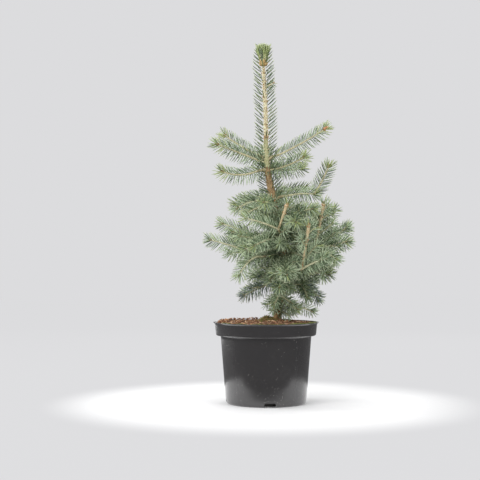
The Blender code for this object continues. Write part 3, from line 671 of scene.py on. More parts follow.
for x, y, tint, tall in tufts:
    foot = np.array((x, y, soil_height(x, y) - BLADE_SUNK))
    for _ in range(BLADES):
        up = np.array((*rng.normal(size=2) * BLADE_LEAN, 1.0))
        up *= tall * rng.uniform(*MOSS_HEIGHT) / np.linalg.norm(up)
        side = np.cross(up, rng.normal(size=3))
        side *= BLADE_HALF_WIDTH / np.linalg.norm(side)
        other = np.cross(up, side) / np.linalg.norm(up)
        base = foot + np.array((*rng.normal(size=2) * BLADE_SCATTER, 0.0))
        blade = [base + up * rise + side * across + other * aside for rise, across, aside in BLADE_POINTS]
        moss_heap.add(blade, BLADE_FACES, tint)
moss = moss_heap.piece("moss")
for index, tint in enumerate(MOSS_TINTS):
    look = patchy_material(f"moss_{index}", tint, (700.0, 3.0, 0.5), (0.7, 0.95))
    moss.data.materials.append(look)
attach(moss, "root")

# ---------------------------------------------------------------------------------------------
# Trunk. One stem from the soil to this year's leader. It leans as it leaves the soil, and its bark
# goes from rough brown plates, through orange-brown scales, to the leader's smooth cream skin.

# height, offset to the right, radius
TRUNK_STATIONS = (
    (0.1523, 0.0192, 0.0078),
    (0.2130, 0.0312, 0.0070),
    (0.2820, 0.0315, 0.0064),
    (0.3740, 0.0130, 0.0068),
    (0.4390, 0.0020, 0.0058),
    (0.4650, 0.0005, 0.0042),
    (0.5410, -0.0008, 0.0034),
    (0.6360, -0.0052, 0.0022),
)
TRUNK_FOOT_Z = TRUNK_STATIONS[0][0]
TRUNK_TIP_Z = TRUNK_STATIONS[-1][0]
TRUNK_TIP_ROUND = 0.0012
TRUNK_FLARE_HEIGHT = 0.016
TRUNK_FLARE_R = 0.0108
TRUNK_SIDES = 56
TRUNK_RING = 0.0012
OLD_BARK_TOP = 0.376                    # where the plates give way to scales
SCALY_BARK_TOP = 0.4350                 # and the scales to smooth skin, olive at first
OLIVE_SKIN_TOP = 0.4870
NODE_TOP = 0.4935                       # an orange-brown node parts olive from cream
# size round the trunk and up it, a seed, and relief
PLATE = (0.0052, 0.0078, 0.0, 0.00060)
SCALE = (0.0022, 0.0052, 40.0, 0.00055)
RIDGE = (0.0020, 0.0056, 80.0, 0.00085)     # these run down from the leader's needles
CRACK_WIDTH = 0.28
SKIN_RELIEF = 0.00010
# painted shade: below this the leader's skin takes the dark groove colour
GROOVE_BELOW = 0.55
FINE_GRAIN = 2600.0
# how ragged the line between two barks is in shape and in colour: waves round, waves up, height
RAGGED_SHAPE = (2.5, 90.0, 0.0022)
RAGGED_COLOUR = (3.0, 120.0, 0.0030)
YEAR_RINGS = ((0.4360, 0.0006), (0.4900, 0.0007), (0.3780, 0.0006))     # old bud scars and their swell
YEAR_RING_WIDTH = 0.0016
BARK_SEED = 11                          # without it the cracks' course changes from run to run
# name, dark and light colour, scale of the grain, depth, roughness
TRUNK_BARKS = (
    ("old_bark", (0.120, 0.058, 0.024), (0.500, 0.315, 0.140), 620.0, 0.0006, 0.9),
    ("scaly_bark", (0.150, 0.090, 0.040), (0.580, 0.400, 0.205), 700.0, 0.0005, 0.85),
    ("olive_skin", (0.290, 0.290, 0.130), (0.480, 0.470, 0.260), 520.0, 0.0002, 0.6),
    ("leader_skin", (0.700, 0.650, 0.400), (0.930, 0.910, 0.680), 520.0, 0.0002, 0.6),
    # painted shade: dark brown in the grooves between the leader's ridges
    ("leader_groove_shade", (0.220, 0.130, 0.050), (0.480, 0.330, 0.150), 520.0, 0.0002, 0.8),
)
OLD, SCALY, OLIVE_SKIN, CREAM_SKIN, SHADED_GROOVE = range(len(TRUNK_BARKS))


def trunk_value(z, column):
    """One column of TRUNK_STATIONS at a height, as a smooth curve through its rows."""
    rows = TRUNK_STATIONS
    z = min(max(z, rows[0][0]), rows[-1][0])
    i = max(k for k in range(len(rows) - 1) if rows[k][0] <= z)
    before, low, high, after = rows[max(i - 1, 0)], rows[i], rows[i + 1], rows[min(i + 2, len(rows) - 1)]
    span = high[0] - low[0]
    t = (z - low[0]) / span
    slope_low = span * (high[column] - before[column]) / (high[0] - before[0])
    slope_high = span * (after[column] - low[column]) / (after[0] - low[0])
    value = (2 * t**3 - 3 * t**2 + 1) * low[column] + (t**3 - 2 * t**2 + t) * slope_low
    return value + (3 * t**2 - 2 * t**3) * high[column] + (t**3 - t**2) * slope_high


def trunk_place(z):
    return np.array((trunk_value(z, 1), 0.0, z))


def trunk_radius(z):
    above = min(max((z - TRUNK_FOOT_Z) / TRUNK_FLARE_HEIGHT, 0.0), 1.0)
    flare = (TRUNK_FLARE_R - TRUNK_STATIONS[0][2]) * (1.0 - above) ** 2
    return trunk_value(z, 2) + flare


def plates(angle, z, r, kind):
    """How far a place on the trunk is from the crack between two plates: 0 in it, 1 on a plate."""
    across, up, seed, _ = kind
    spot = Vector((math.cos(angle) * r / across, math.sin(angle) * r / across, z / up + seed))
    near = noise.voronoi(spot + noise.noise_vector(spot * 1.7) * 0.35)[0]
    return min((near[1] - near[0]) / CRACK_WIDTH, 1.0)


def ragged(angle, z, line):
    waves_round, waves_up, height = line
    across = Vector((math.cos(angle), math.sin(angle), 0.0)) * waves_round
    return height * noise.noise(across + Vector((0.0, 0.0, z * waves_up)))


def bark_relief(angle, z, r):
    """How far the bark stands out from the trunk's round, down to the cracks between its plates."""
    bark_z = z + ragged(angle, z, RAGGED_SHAPE)
    x, y = math.cos(angle) * r, math.sin(angle) * r
    fine = noise.noise(Vector((x, y, z)) * FINE_GRAIN)
    if bark_z < OLD_BARK_TOP:
        swell = 0.8 * noise.noise(Vector((x * 160.0, y * 160.0, z * 60.0)))
        relief = PLATE[-1] * (plates(angle, z, r, PLATE) - 1.0 + 0.5 * swell + 0.22 * fine)
    elif bark_z < SCALY_BARK_TOP:
        relief = SCALE[-1] * (plates(angle, z, r, SCALE) - 1.0 + 0.3 * fine)
    else:
        relief = SKIN_RELIEF * noise.noise(Vector((x * 2200.0, y * 2200.0, z * 260.0)))
        if z > NODE_TOP:
            relief += RIDGE[-1] * (plates(angle, z, r, RIDGE) - 0.5)
    for ring_z, swell in YEAR_RINGS:
        relief += swell * math.exp(-(((z - ring_z) / YEAR_RING_WIDTH) ** 2)) * (0.7 + 0.5 * fine)
    return relief


def bark_tint(angle, z, r):
    """Which of TRUNK_BARKS a place on the trunk has."""
    bark_z = z + ragged(angle, z, RAGGED_COLOUR)
    bands = ((OLD_BARK_TOP, OLD), (SCALY_BARK_TOP, SCALY), (OLIVE_SKIN_TOP, OLIVE_SKIN), (NODE_TOP, SCALY))
    for top, tint in bands:
        if bark_z < top:
            return tint
    # the grooves between the leader's ridges are painted dark, as shade
    return SHADED_GROOVE if plates(angle, z, r, RIDGE) < GROOVE_BELOW else CREAM_SKIN


noise.seed_set(BARK_SEED)
heights = np.arange(TRUNK_FOOT_Z, TRUNK_TIP_Z, TRUNK_RING)
points, tints = [], []
for ring, z in enumerate(heights):
    middle, r = trunk_place(z), trunk_radius(z)
    for i in range(TRUNK_SIDES):
        angle = 2 * math.pi * i / TRUNK_SIDES
        out = r + bark_relief(angle, z, r)
        points.append((middle[0] + out * math.cos(angle), out * math.sin(angle), z))
        if ring:
            tints.append(bark_tint(angle, z, r))
points += [tuple(trunk_place(TRUNK_FOOT_Z)), tuple(trunk_place(TRUNK_TIP_Z) + (0.0, 0.0, TRUNK_TIP_ROUND))]
tints += [OLD] * TRUNK_SIDES + [CREAM_SKIN] * TRUNK_SIDES
trunk = linked("trunk_bark", mesh_of("trunk_bark", points, capped_rings(len(heights), TRUNK_SIDES), tints))

woody_grain, given, result = new_group(
    "woody_grain",
    {"Dark": "Color", "Light": "Color", "Scale": "Float"},
    {"Color": "Color", "Height": "Float"},
)
where = object_space(woody_grain)
streaks = noise_node(woody_grain, where, given["Scale"], 5.0, 0.65, 0.6)
coarser = math_node(woody_grain, "MULTIPLY", given["Scale"], 0.22)
mottle = noise_node(woody_grain, where, coarser, 3.0, 0.6)
streaks = math_node(woody_grain, "MULTIPLY", streaks, 0.6)
height = math_node(woody_grain, "ADD", streaks, math_node(woody_grain, "MULTIPLY", mottle, 0.4))
shade = range_node(woody_grain, height, 0.38, 0.62, 0.0, 1.0)
colour = mix_node(woody_grain, shade, given["Dark"], given["Light"])
wire(woody_grain, result, {"Color": colour, "Height": height})


def add_barks(piece, barks):
    """Gives a piece its barks: each has its own pair of colours in the woody grain."""
    for name, dark, light, scale, depth, roughness in barks:
        material, tree, shader = blank_material(name)
        grain = placed(tree, woody_grain, {"Dark": (*dark, 1.0), "Light": (*light, 1.0), "Scale": scale})
        bump = bump_node(tree, grain["Height"], depth, 0.8)
        wire(tree, shader, {"Base Color": grain["Color"], "Normal": bump, "Roughness": roughness})
        piece.data.materials.append(material)


add_barks(trunk, TRUNK_BARKS)
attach(trunk, "root")
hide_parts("trunk")

# ---------------------------------------------------------------------------------------------
# Boughs. Bare wood that carries each spray from the trunk to its first fork. They leave the trunk in
# whorls, a year apart, and keep the peg scars of the needles that they have dropped.

BOUGH_R_AT_TRUNK = 0.0030
BOUGH_R_AT_FORK = 0.0019
BOUGH_BOW = 0.002
BOUGH_STEP = 0.012
BOUGH_FOOT_DEPTH = 0.0015               # how far a bough's foot is sunk in the trunk's bark
BOUGH_SIDES = 14
BOUGH_RING = 0.0011
BOUGH_ROUGH = 0.045
COLLAR = 0.005
COLLAR_SWELL = 0.35                     # where a bough joins the trunk
COLLAR_FADE = 0.003
BOUGH_OVERLAP = 0.4 * COLLAR            # how far its wood runs into the first shoot
YOUNG_WOOD_FROM_Z = 0.34
BOUGH_BARKS = (
    ("young_wood", (0.260, 0.215, 0.105), (0.560, 0.500, 0.300), 650.0, 0.0004, 0.75),
    ("older_wood", (0.200, 0.155, 0.080), (0.480, 0.410, 0.250), 650.0, 0.0005, 0.85),
)
UP = np.array((0.0, 0.0, 1.0))
TO_THE_RIGHT = np.array((1.0, 0.0, 0.0))
STEEP_STEM = 0.9                        # how much of its direction is upwards

# name, height of its foot on the trunk, where its bare wood ends (None where the shoot leaves the
# trunk itself), its shoots (share of the first shoot where this one starts, its tip to the right,
# back and up, and how far it bows upwards) and whether side twigs grow on it
LIMBS = (
    ("upper_right", 0.447, (0.022, 0.004, 0.458), ((0, 0.113, 0.020, 0.510, -0.002),), False),
    ("upper_left", 0.448, (-0.018, 0.005, 0.460), ((0, -0.077, 0.017, 0.497, -0.002),), False),
    ("upper_left_front", 0.442, None, ((0, -0.091, -0.027, 0.475, 0.000),), False),
    ("upper_left_low", 0.429, (-0.015, -0.009, 0.427), ((0, -0.081, -0.036, 0.424, -0.006),), False),
    ("upper_right_low", 0.429, None, ((0, 0.069, -0.050, 0.449, -0.004),), False),
    ("upper_back_right", 0.433, None, ((0, 0.070, 0.045, 0.437, -0.003),), False),
    ("upper_back", 0.444, None, ((0, 0.002, 0.092, 0.478, 0.000),), False),
    ("middle_right", 0.374, (0.040, -0.006, 0.382),
     ((0, 0.090, -0.010, 0.384, 0.002), (0.98, 0.116, -0.014, 0.437, -0.003)), False),
    ("middle_back_right", 0.384, (0.032, 0.018, 0.392), ((0, 0.075, 0.052, 0.399, 0.000),), False),
    ("middle_left", 0.377, (-0.008, -0.004, 0.374),
     ((0, -0.054, -0.018, 0.357, 0.003), (0.2, -0.058, 0.012, 0.368, 0.000)), False),
    ("middle_back_left", 0.383, None, ((0, -0.044, 0.060, 0.380, 0.000),), False),
    ("middle_back", 0.369, None, ((0, 0.028, 0.090, 0.385, 0.000),), False),
    ("middle_front", 0.362, None,
     ((0, -0.006, -0.070, 0.366, 0.003), (0.3, -0.034, -0.034, 0.349, 0.002)), False),
    ("left_high", 0.289, (-0.008, 0.004, 0.300),
     ((0, -0.082, 0.016, 0.331, 0.003), (0.1, -0.050, -0.040, 0.307, 0.000),
      (0.3, -0.062, -0.004, 0.314, 0.002)), False),
    ("left_long", 0.256, (-0.004, -0.008, 0.269),
     ((0, -0.104, -0.022, 0.300, 0.002), (0.12, -0.068, 0.010, 0.276, 0.003)), False),
    ("left_low", 0.272, (-0.004, -0.020, 0.270),
     ((0, -0.050, -0.046, 0.235, 0.011), (0.15, -0.040, -0.020, 0.258, 0.003)), False),
    ("left_bottom", 0.240, (0.010, 0.006, 0.223), ((0, -0.042, 0.020, 0.197, 0.000),), True),
    ("front_upright", 0.281, (0.0225, -0.044, 0.316),
     ((0, 0.036, -0.064, 0.362, 0.000), (0, -0.038, -0.070, 0.337, 0.002)), False),
    ("front_right_high", 0.322, None,
     ((0, 0.082, -0.068, 0.354, 0.008), (0.35, 0.052, -0.076, 0.330, 0.003)), True),
    ("front_left", 0.303, None,
     ((0, -0.022, -0.088, 0.288, 0.004), (0.15, -0.040, -0.052, 0.281, 0.003)), False),
    ("front", 0.262, None, ((0, 0.034, -0.103, 0.237, 0.003),), True),
    ("front_right", 0.242, (0.061, -0.052, 0.246),
     ((0, 0.0745, -0.078, 0.325, 0.000), (0, 0.104, -0.085, 0.264, 0.003)), True),
    ("front_low", 0.232, None, ((0, 0.022, -0.066, 0.214, 0.000),), True),
    ("front_bottom", 0.208, None,
     ((0, 0.014, -0.038, 0.183, 0.000), (0.35, 0.046, -0.034, 0.185, 0.000)), False),
    ("right_high", 0.308, (0.060, -0.016, 0.307),
     ((0, 0.129, 0.020, 0.357, 0.000), (0.2, 0.104, 0.046, 0.345, 0.000)), True),
    ("right_mid", 0.275, (0.062, -0.012, 0.272),
     ((0, 0.151, 0.004, 0.321, 0.003), (0.1, 0.148, -0.028, 0.297, 0.003),
      (0.35, 0.104, -0.038, 0.366, -0.002), (0.1, 0.124, -0.060, 0.265, 0.010)), True),
    ("right_low", 0.237, (0.068, 0.008, 0.239),
     ((0, 0.119, 0.016, 0.248, 0.003), (0.1, 0.114, -0.032, 0.236, 0.002)), True),
    ("right_bottom", 0.220, (0.064, 0.016, 0.219),
     ((0, 0.098, 0.022, 0.187, 0.006), (0.1, 0.076, -0.020, 0.193, 0.002)), True),
    ("foot_right", 0.186, None,
     ((0, 0.057, -0.040, 0.174, 0.000), (0.45, 0.086, -0.008, 0.168, 0.002)), False),
    ("back_high", 0.330, (0.024, 0.030, 0.334),
     ((0, 0.000, 0.100, 0.348, 0.000), (0, 0.056, 0.096, 0.340, 0.000)), True),
    ("back_left", 0.284, (0.002, 0.028, 0.286),
     ((0, -0.060, 0.074, 0.306, 0.000), (0, -0.016, 0.108, 0.298, 0.000)), True),
    ("back_right", 0.268, (0.054, 0.030, 0.272),
     ((0, 0.114, 0.074, 0.300, 0.000), (0, 0.074, 0.112, 0.290, 0.000)), True),
    ("back_low", 0.247, None, ((0, 0.016, 0.104, 0.238, 0.003), (0.3, -0.026, 0.070, 0.232, 0.000)), True),
    ("back_right_low", 0.226, None, ((0, 0.090, 0.074, 0.220, 0.002),), True),
    ("back_bottom", 0.200, None, ((0, 0.020, 0.058, 0.184, 0.000),), True),
)


def unit(vector):
    return vector / np.linalg.norm(vector)


def arched(foot, tip, bow, step):
    """Points from foot to tip on an arch whose middle stands bow above the straight line."""
    foot, tip = np.asarray(foot, float), np.asarray(tip, float)
    middle = (foot + tip) / 2 + (0.0, 0.0, 2 * bow)
    count = max(2, round(np.linalg.norm(tip - foot) / step))
    t = (np.arange(count + 1) / count)[:, None]
    return (1 - t) ** 2 * foot + 2 * t * (1 - t) * middle + t * t * tip


def evenly(path, step):
    """A path's points set evenly along it."""
    path = np.asarray(path, float)
    apart = np.linalg.norm(np.diff(path, axis=0), axis=1)
    path = path[np.concatenate([[True], apart > 1e-6])]
    run = np.concatenate([[0.0], np.cumsum(np.linalg.norm(np.diff(path, axis=0), axis=1))])
    at = np.linspace(0.0, run[-1], max(2, round(run[-1] / step)) + 1)
    return np.stack([np.interp(at, run, path[:, k]) for k in range(3)], axis=1)


def along(points, share):
    """The place and the direction at a share of a path."""
    at = min(share, 0.999) * (len(points) - 1)
    i = int(at)
    step = points[i + 1] - points[i]
    return points[i] + step * (at - i), unit(step)


def frames_of(path, top):
    """For each point of a path: its direction, and two directions square to it, the first near top."""
    ahead = unit_rows(np.gradient(path, axis=0))
    up = unit_rows(top - ahead * (ahead @ top)[:, None])
    return ahead, up, np.cross(ahead, up)


def top_for(path, steepest):
    """The direction that a path's frames start from: up, or to the right where the path is steep."""
    return UP if abs(unit(path[-1] - path[0])[2]) < steepest else TO_THE_RIGHT


def tube(path, radii, sides, rough, seed):
    """Points and faces of a stem along a path, with capped ends and a surface that is a little rough."""
    _, up, side = frames_of(path, top_for(path, STEEP_STEM))
    turn = 2 * np.pi * np.arange(sides) / sides
    uneven = 1.0 + rough * np.random.default_rng(seed).normal(size=(len(path), sides))
    ring = up[:, None] * np.cos(turn)[None, :, None] + side[:, None] * np.sin(turn)[None, :, None]
    points = (path[:, None] + ring * (np.asarray(radii)[:, None] * uneven)[..., None]).reshape(-1, 3)
    points = np.vstack([points, path[:1], path[-1:] + (path[-1:] - path[-2:-1]) * 0.3])
    return points, capped_rings(len(path), sides)


boughs, bough_away = {}, {}
for name, foot_z, fork, _, _ in LIMBS:
    if fork:
        boughs[name] = arched(trunk_place(foot_z), fork, BOUGH_BOW, BOUGH_STEP)
        bough_away[name] = unit(boughs[name][-1] - boughs[name][-2])

heap = Heap()
for number, (name, path) in enumerate(boughs.items()):
    path = evenly(np.vstack([path, path[-1:] + bough_away[name] * BOUGH_OVERLAP]), BOUGH_RING)
    radii = np.linspace(BOUGH_R_AT_TRUNK, BOUGH_R_AT_FORK, len(path))
    from_bark = np.linalg.norm(path - path[0], axis=1) - trunk_radius(path[0][2])
    radii = radii * (1.0 + COLLAR_SWELL * np.exp(-np.maximum(from_bark, 0.0) / COLLAR_FADE))
    keep = from_bark >= -BOUGH_FOOT_DEPTH
    points, faces = tube(path[keep], radii[keep], BOUGH_SIDES, BOUGH_ROUGH, number)
    heap.add(points, faces, 0 if path[0][2] > YOUNG_WOOD_FROM_Z else 1)
bough_piece = heap.piece("boughs")
add_barks(bough_piece, BOUGH_BARKS)
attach(bough_piece, "root")
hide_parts(*[name + "_bough" for name in boughs])

# ---------------------------------------------------------------------------------------------
# Shoots. Each limb ends in shoots that put out side twigs, and those finer twigs, by one rule. Every
# needle stands on a small woody peg, and the pegs run in a spiral round the shoot.

RULE_STEP = 0.0098                      # spacing at which the rule reads a shoot's path
STEM_R = 0.0017
TWIG_R = 0.0013
FINE_TWIG_R = 0.0010
TIP_R = 0.0008
BOUGH_GAP = 0.0003                      # between a bough's fork and the shoots that it carries
FORK_STAGGER = 0.0009                   # between the feet of shoots that leave one fork
SLEEVE = 0.0020                         # room kept round the parts of the trunk that carry needles
LEADER_Z = (0.463, 0.643)
INTERNODE_Z = (0.391, 0.423)
LEADER_TWIG = (0.583, 0.014, -0.003, 0.591)
SHOWN_TIPS = (("front_upright", 0), ("front_right", 0), ("right_mid", 2))
TRUNK_STEP = 0.016
TWIG_ANGLE = math.radians(38)
TWIG_ANGLE_SPREAD = (0.85, 1.15)
TWIG_ROLL = 0.6
TWIG_CHECKED_AT = (0.5, 0.75, 1.0)
TWIG_LOWEST_Z = 0.1640
TWIG_SEED = 41
# spacing, shares of a shoot where they begin and end, length against the rest of the shoot, least
# and most length, thickness, and room kept to other limbs
SIDE_TWIGS = (0.019, 0.22, 1.0, 0.62, (0.017, 0.042), TWIG_R, 0.0084)
FINE_TWIGS = (0.0230, 0.14, 0.62, 0.62, (0.016, 0.030), FINE_TWIG_R, 0.0056)
BOUGH_TWIGS = (0.0150, 0.20, 1.0, 0.90, (0.022, 0.040), TWIG_R, 0.0048)
INNER_SHOOT_Z = (0.216, 0.366)          # short shoots that leave the trunk between the boughs
INNER_SHOOT_EVERY = 0.0054
INNER_SHOOT_LENGTHS = (0.030, 0.056)
INNER_SHOOT_RISE = 0.30
INNER_SHOOT_ROOM = 0.0040
GOLDEN_TURN = math.radians(137.508)
LEADER_NEEDLES = (0.4330, 0.6540)
INTERNODE_NEEDLES = (0.372, 0.432)
FOOT_NEEDLES = (0.181, 0.252)
FOOT_SHOOTS = (                         # foot's height on the trunk, tip
    (0.177, 0.054, -0.018, 0.167),
    (0.171, 0.042, -0.030, 0.162),
    (0.192, -0.001, -0.020, 0.181),
    (0.184, 0.010, -0.032, 0.170),
)
SHOWN_BOUGHS = ("front_upright",)


class Shoot:
    """A needled shoot: its mass, path, thickness and needles, and its order from the trunk."""

    thin = TIP_R
    bare_wood = False                   # its wood is another piece's
    shown = False                       # an upright tip of an older limb, bare on its outer side
    stunted = False

    def __init__(self, mass, path, thick, order, twiggy=False):
        self.mass = mass
        self.path = path
        self.thick = thick
        self.order = order
        self.twiggy = twiggy

    def length(self):
        return np.linalg.norm(np.diff(self.path, axis=0), axis=1).sum()


def trunk_path(low, high, step):
    """The trunk's own path, carried on straight up past its tip."""
    heights = np.linspace(low, high, max(1, round((high - low) / step)) + 1)
    path = np.array([trunk_place(z) for z in heights])
    path[:, 2] = heights
    return path


shoots = []
for mass, (low, high) in (("leader", LEADER_Z), ("internode", INTERNODE_Z)):
    shoot = Shoot(mass, trunk_path(low, high, RULE_STEP), trunk_radius(low) + SLEEVE, 0)
    shoot.thin = trunk_radius(high) + SLEEVE
    shoots.append(shoot)
leader_twig = arched(trunk_place(LEADER_TWIG[0]), LEADER_TWIG[1:], 0.0, RULE_STEP / 2)
shoots.append(Shoot("leader", leader_twig, TWIG_R, 2))
shoots[-1].stunted = True
for name, foot_z, fork, tips, twiggy in LIMBS:
    root = [trunk_place(foot_z)]
    if fork:
        root = [np.array(fork) + bough_away[name] * off for off in (BOUGH_GAP, COLLAR)]
    first = None
    for number, (share, x, y, z, bow) in enumerate(tips):
        start = root[-1] if share == 0 else along(first, share)[0]
        if share == 0 and number:
            start = start - bough_away[name] * FORK_STAGGER * number
        path = arched(start, (x, y, z), bow, RULE_STEP)
        if first is None:
            path = np.vstack([*root[:-1], path])
            first = path
        shoots.append(Shoot(name, path, STEM_R, 1, twiggy))
        shoots[-1].shown = (name, number) in SHOWN_TIPS


def axis_lines():
    """All axes as line pieces: starts, ends, the thickness round them and whose they are."""
    bare = ((TRUNK_FOOT_Z, INTERNODE_Z[0]), (INTERNODE_Z[1], LEADER_Z[0]))
    lines = [(path, [trunk_radius(p[2]) for p in path[:-1]], -1)
             for path in (trunk_path(low, high, TRUNK_STEP) for low, high in bare)]
    lines += [(path, [BOUGH_R_AT_TRUNK] * (len(path) - 1), -1) for path in boughs.values()]
    lines += [(shoot.path, [shoot.thick] * (len(shoot.path) - 1), i) for i, shoot in enumerate(shoots)]
    starts = np.vstack([path[:-1] for path, _, _ in lines])
    ends = np.vstack([path[1:] for path, _, _ in lines])
    thick = np.concatenate([radii for _, radii, _ in lines])
    owners = np.concatenate([np.full(len(path) - 1, owner) for path, _, owner in lines])
    return starts, ends, thick, owners


def room_at(places, lines, but_not):
    """The least distance from some places to the surface of every axis line but one owner's."""
    starts, ends, thick, owners = lines
    run = ends - starts
    offset = places[:, None, :] - starts[None]
    share = np.einsum("pnk,nk->pn", offset, run) / np.maximum((run * run).sum(axis=1), 1e-12)
    nearest = np.clip(share, 0.0, 1.0)[..., None] * run[None]
    away = np.linalg.norm(offset - nearest, axis=2) - thick[None]
    return away[:, owners != but_not].min()


def put_out_twigs(parents, rule, order):
    """Side twigs on alternate sides of each parent shoot, where no other limb is near."""
    every, first_share, last_share, length_share, lengths, thick, room = rule
    rng = random.Random(TWIG_SEED)
    for parent in parents:
        owner = shoots.index(parent) if parent in shoots else -1
        length = parent.length()
        count = int(length * (1 - first_share) / every)
        for index in range(count):
            share = first_share + (1 - first_share) * (index + 0.3) / count
            root, ahead = along(parent.path, share)
            side = unit(np.cross(ahead, UP)) * (1 if index % 2 else -1)
            upwards = unit(np.cross(side, ahead))
            angle = TWIG_ANGLE * rng.uniform(*TWIG_ANGLE_SPREAD)
            roll = rng.uniform(-TWIG_ROLL, TWIG_ROLL)
            out = side * math.cos(roll) + upwards * math.sin(roll)
            if share > last_share:
                continue
            reach = min(max(length * (1 - share) * length_share, lengths[0]), lengths[1])
            tip = root + (ahead * math.cos(angle) + out * math.sin(angle)) * reach
            free = np.array([root + (tip - root) * t for t in TWIG_CHECKED_AT])
            if room_at(free, axis_lines(), owner) > room and tip[2] > TWIG_LOWEST_Z:
                shoots.append(Shoot(parent.mass, arched(root, tip, 0.0, RULE_STEP), thick, order))


put_out_twigs([shoot for shoot in shoots if shoot.twiggy], SIDE_TWIGS, 2)
bough_shoots = [Shoot(name, path, BOUGH_R_AT_TRUNK, 1) for name, path in boughs.items()]
for shoot in bough_shoots:
    shoot.thin = BOUGH_R_AT_FORK
    shoot.bare_wood = True
    shoot.shown = shoot.mass in SHOWN_BOUGHS
low_boughs = [shoot for shoot in bough_shoots if not shoot.mass.startswith(("upper", "middle"))]
put_out_twigs(low_boughs, BOUGH_TWIGS, 2)
rng = random.Random(TWIG_SEED)
for index, z in enumerate(np.arange(*INNER_SHOOT_Z, INNER_SHOOT_EVERY)):
    bearing = index * GOLDEN_TURN
    way = unit(np.array((math.cos(bearing), math.sin(bearing), INNER_SHOOT_RISE * rng.uniform(-0.5, 1.5))))
    root = trunk_place(z)
    tip = root + way * rng.uniform(*INNER_SHOOT_LENGTHS)
    checked = np.array([root + (tip - root) * t for t in TWIG_CHECKED_AT])
    if room_at(checked, axis_lines(), -1) > INNER_SHOOT_ROOM:
        quarter = ("right", "back", "left", "front")[round(bearing / (math.pi / 2)) % 4]
        shoots.append(Shoot(quarter + "_inner", arched(root, tip, 0.0, RULE_STEP), TWIG_R, 2))
put_out_twigs([shoot for shoot in shoots if shoot.twiggy or shoot.order == 2], FINE_TWIGS, 3)
shoots[0].path = trunk_path(*LEADER_NEEDLES, RULE_STEP)
shoots[1].path = trunk_path(*INTERNODE_NEEDLES, RULE_STEP)
shoots[0].bare_wood = shoots[1].bare_wood = True
shoots += bough_shoots
foot = Shoot("front_foot", trunk_path(*FOOT_NEEDLES, RULE_STEP), trunk_radius(FOOT_NEEDLES[0]), 1)
foot.thin = trunk_radius(FOOT_NEEDLES[1])
foot.bare_wood = True
shoots.append(foot)
for foot_z, *tip in FOOT_SHOOTS:
    side = "foot_right" if tip[0] > trunk_place(foot_z)[0] else "foot_left"
    shoots.append(Shoot(side, arched(trunk_place(foot_z), tip, 0.0, RULE_STEP), TWIG_R, 2))
# By order from the trunk: 0 the leader, 1 a limb's own shoots, 2 side twigs, 3 fine twigs
NEEDLE_PER_M = (960.0, 1600.0, 1550.0, 1500.0)
NEEDLE_LENGTH = (0.0238, 0.0215, 0.0190, 0.0168)
NEEDLE_HALF_WIDTH = (0.00090, 0.00068, 0.00066, 0.00066)
THINNED = (0.66, 0.80, 0.80, 0.80)      # share missing where they would cover the stem's outer side
PEG_LENGTH = (0.0044, 0.0020, 0.0014, 0.0010)
PEG_OUT = (0.60, 0.3, 0.0, 0.0)         # share of it that a needle stands out on
PEG_R = (0.00078, 0.00050, 0.00042, 0.00038)
TUFTS = (190, 10, 5, 3)                 # needles round the bud at a shoot's tip
TUFT_LEAN = ((0.0, math.radians(20)),) + ((math.radians(8), math.radians(36)),) * 3
TUFT_SPREAD = (0.0072, 0.0008, 0.0008, 0.0008)
TUFT_DEPTH = (0.0252, 0.006, 0.006, 0.006)
TUFT_SHORTER = (0.78, 1.0)
NEEDLE_LENGTH_SPREAD = (0.88, 1.04)
NEEDLE_HALF_DEPTH = 0.85                # share of its width
NEEDLE_RINGS = ((0.0, 0.55), (0.10, 0.85), (0.45, 1.0), (0.82, 0.78))   # share of its length, of its width
NEEDLE_LEAST = 0.002
SHORT_BELOW = (0.180, 0.215)            # needles on the lowest shoots are shorter
SHORT = 0.74
SHORTER_AT_TIP = 0.15
SHORTER_AT_FOOT = 0.2
STUNTED = 0.62
STEEP_SHOOT = 0.87                      # how much of its direction is upwards
LEAN_ABOVE = math.radians(47)           # angle between a needle and its shoot
LEAN_BELOW = math.radians(84)
LEAN_AT_TIP = math.radians(36)
LEAN_SPREAD = math.radians(3)
STEEP_BELOW = 0.35                      # how far between the two the needles of a steep shoot lean
TURN_SPREAD = math.radians(4)
BEND_AHEAD = 0.18                       # how far a needle bends on towards the shoot's tip
BEND_UP = 0.08                          # and towards the light
PARTING = 0.24                          # how far the needles part to show the stem from both sides
THINNED_FROM = (0.68, 0.86)
BACK_FROM_Y = 0.02                      # shoots behind this are seen from the back
SHOWN_BARE_TO = -0.15
LEADER_RING = 6                         # the leader's needles stand in loose rings of so many
LEADER_RING_TURN = math.radians(34)
LEADER_RING_SPREAD = 0.0008
LEADER_LEAN = math.radians(55)
LEADER_LEAN_SPREAD = LEAN_SPREAD / 2
CROWN_LEAN = math.radians(50)
PAST_TIP_R = 0.0010                     # of the stem that the needles past the trunk's tip stand on
CROWN_NEEDLE = 0.0280
CROWN_LEVEL = (0.90, 1.0)               # how near the crown's needles come to its top
CROWN_DOME = 0.20                       # how much lower its outer ones end
NEEDLE_SEED = 5
Needles = namedtuple("Needles", "roots way bent reach share out kept width")


def needle_length(shoot, z, count, spread, rng):
    """Needles' lengths, shorter low down on the plant."""
    rise = np.clip((z - SHORT_BELOW[0]) / (SHORT_BELOW[1] - SHORT_BELOW[0]), 0.0, 1.0)
    return NEEDLE_LENGTH[shoot.order] * rng.uniform(*spread, count) * (SHORT + (1.0 - SHORT) * rise)


def leaning(ahead, out, lean):
    return out * np.sin(lean)[:, None] + ahead * np.cos(lean)[:, None]


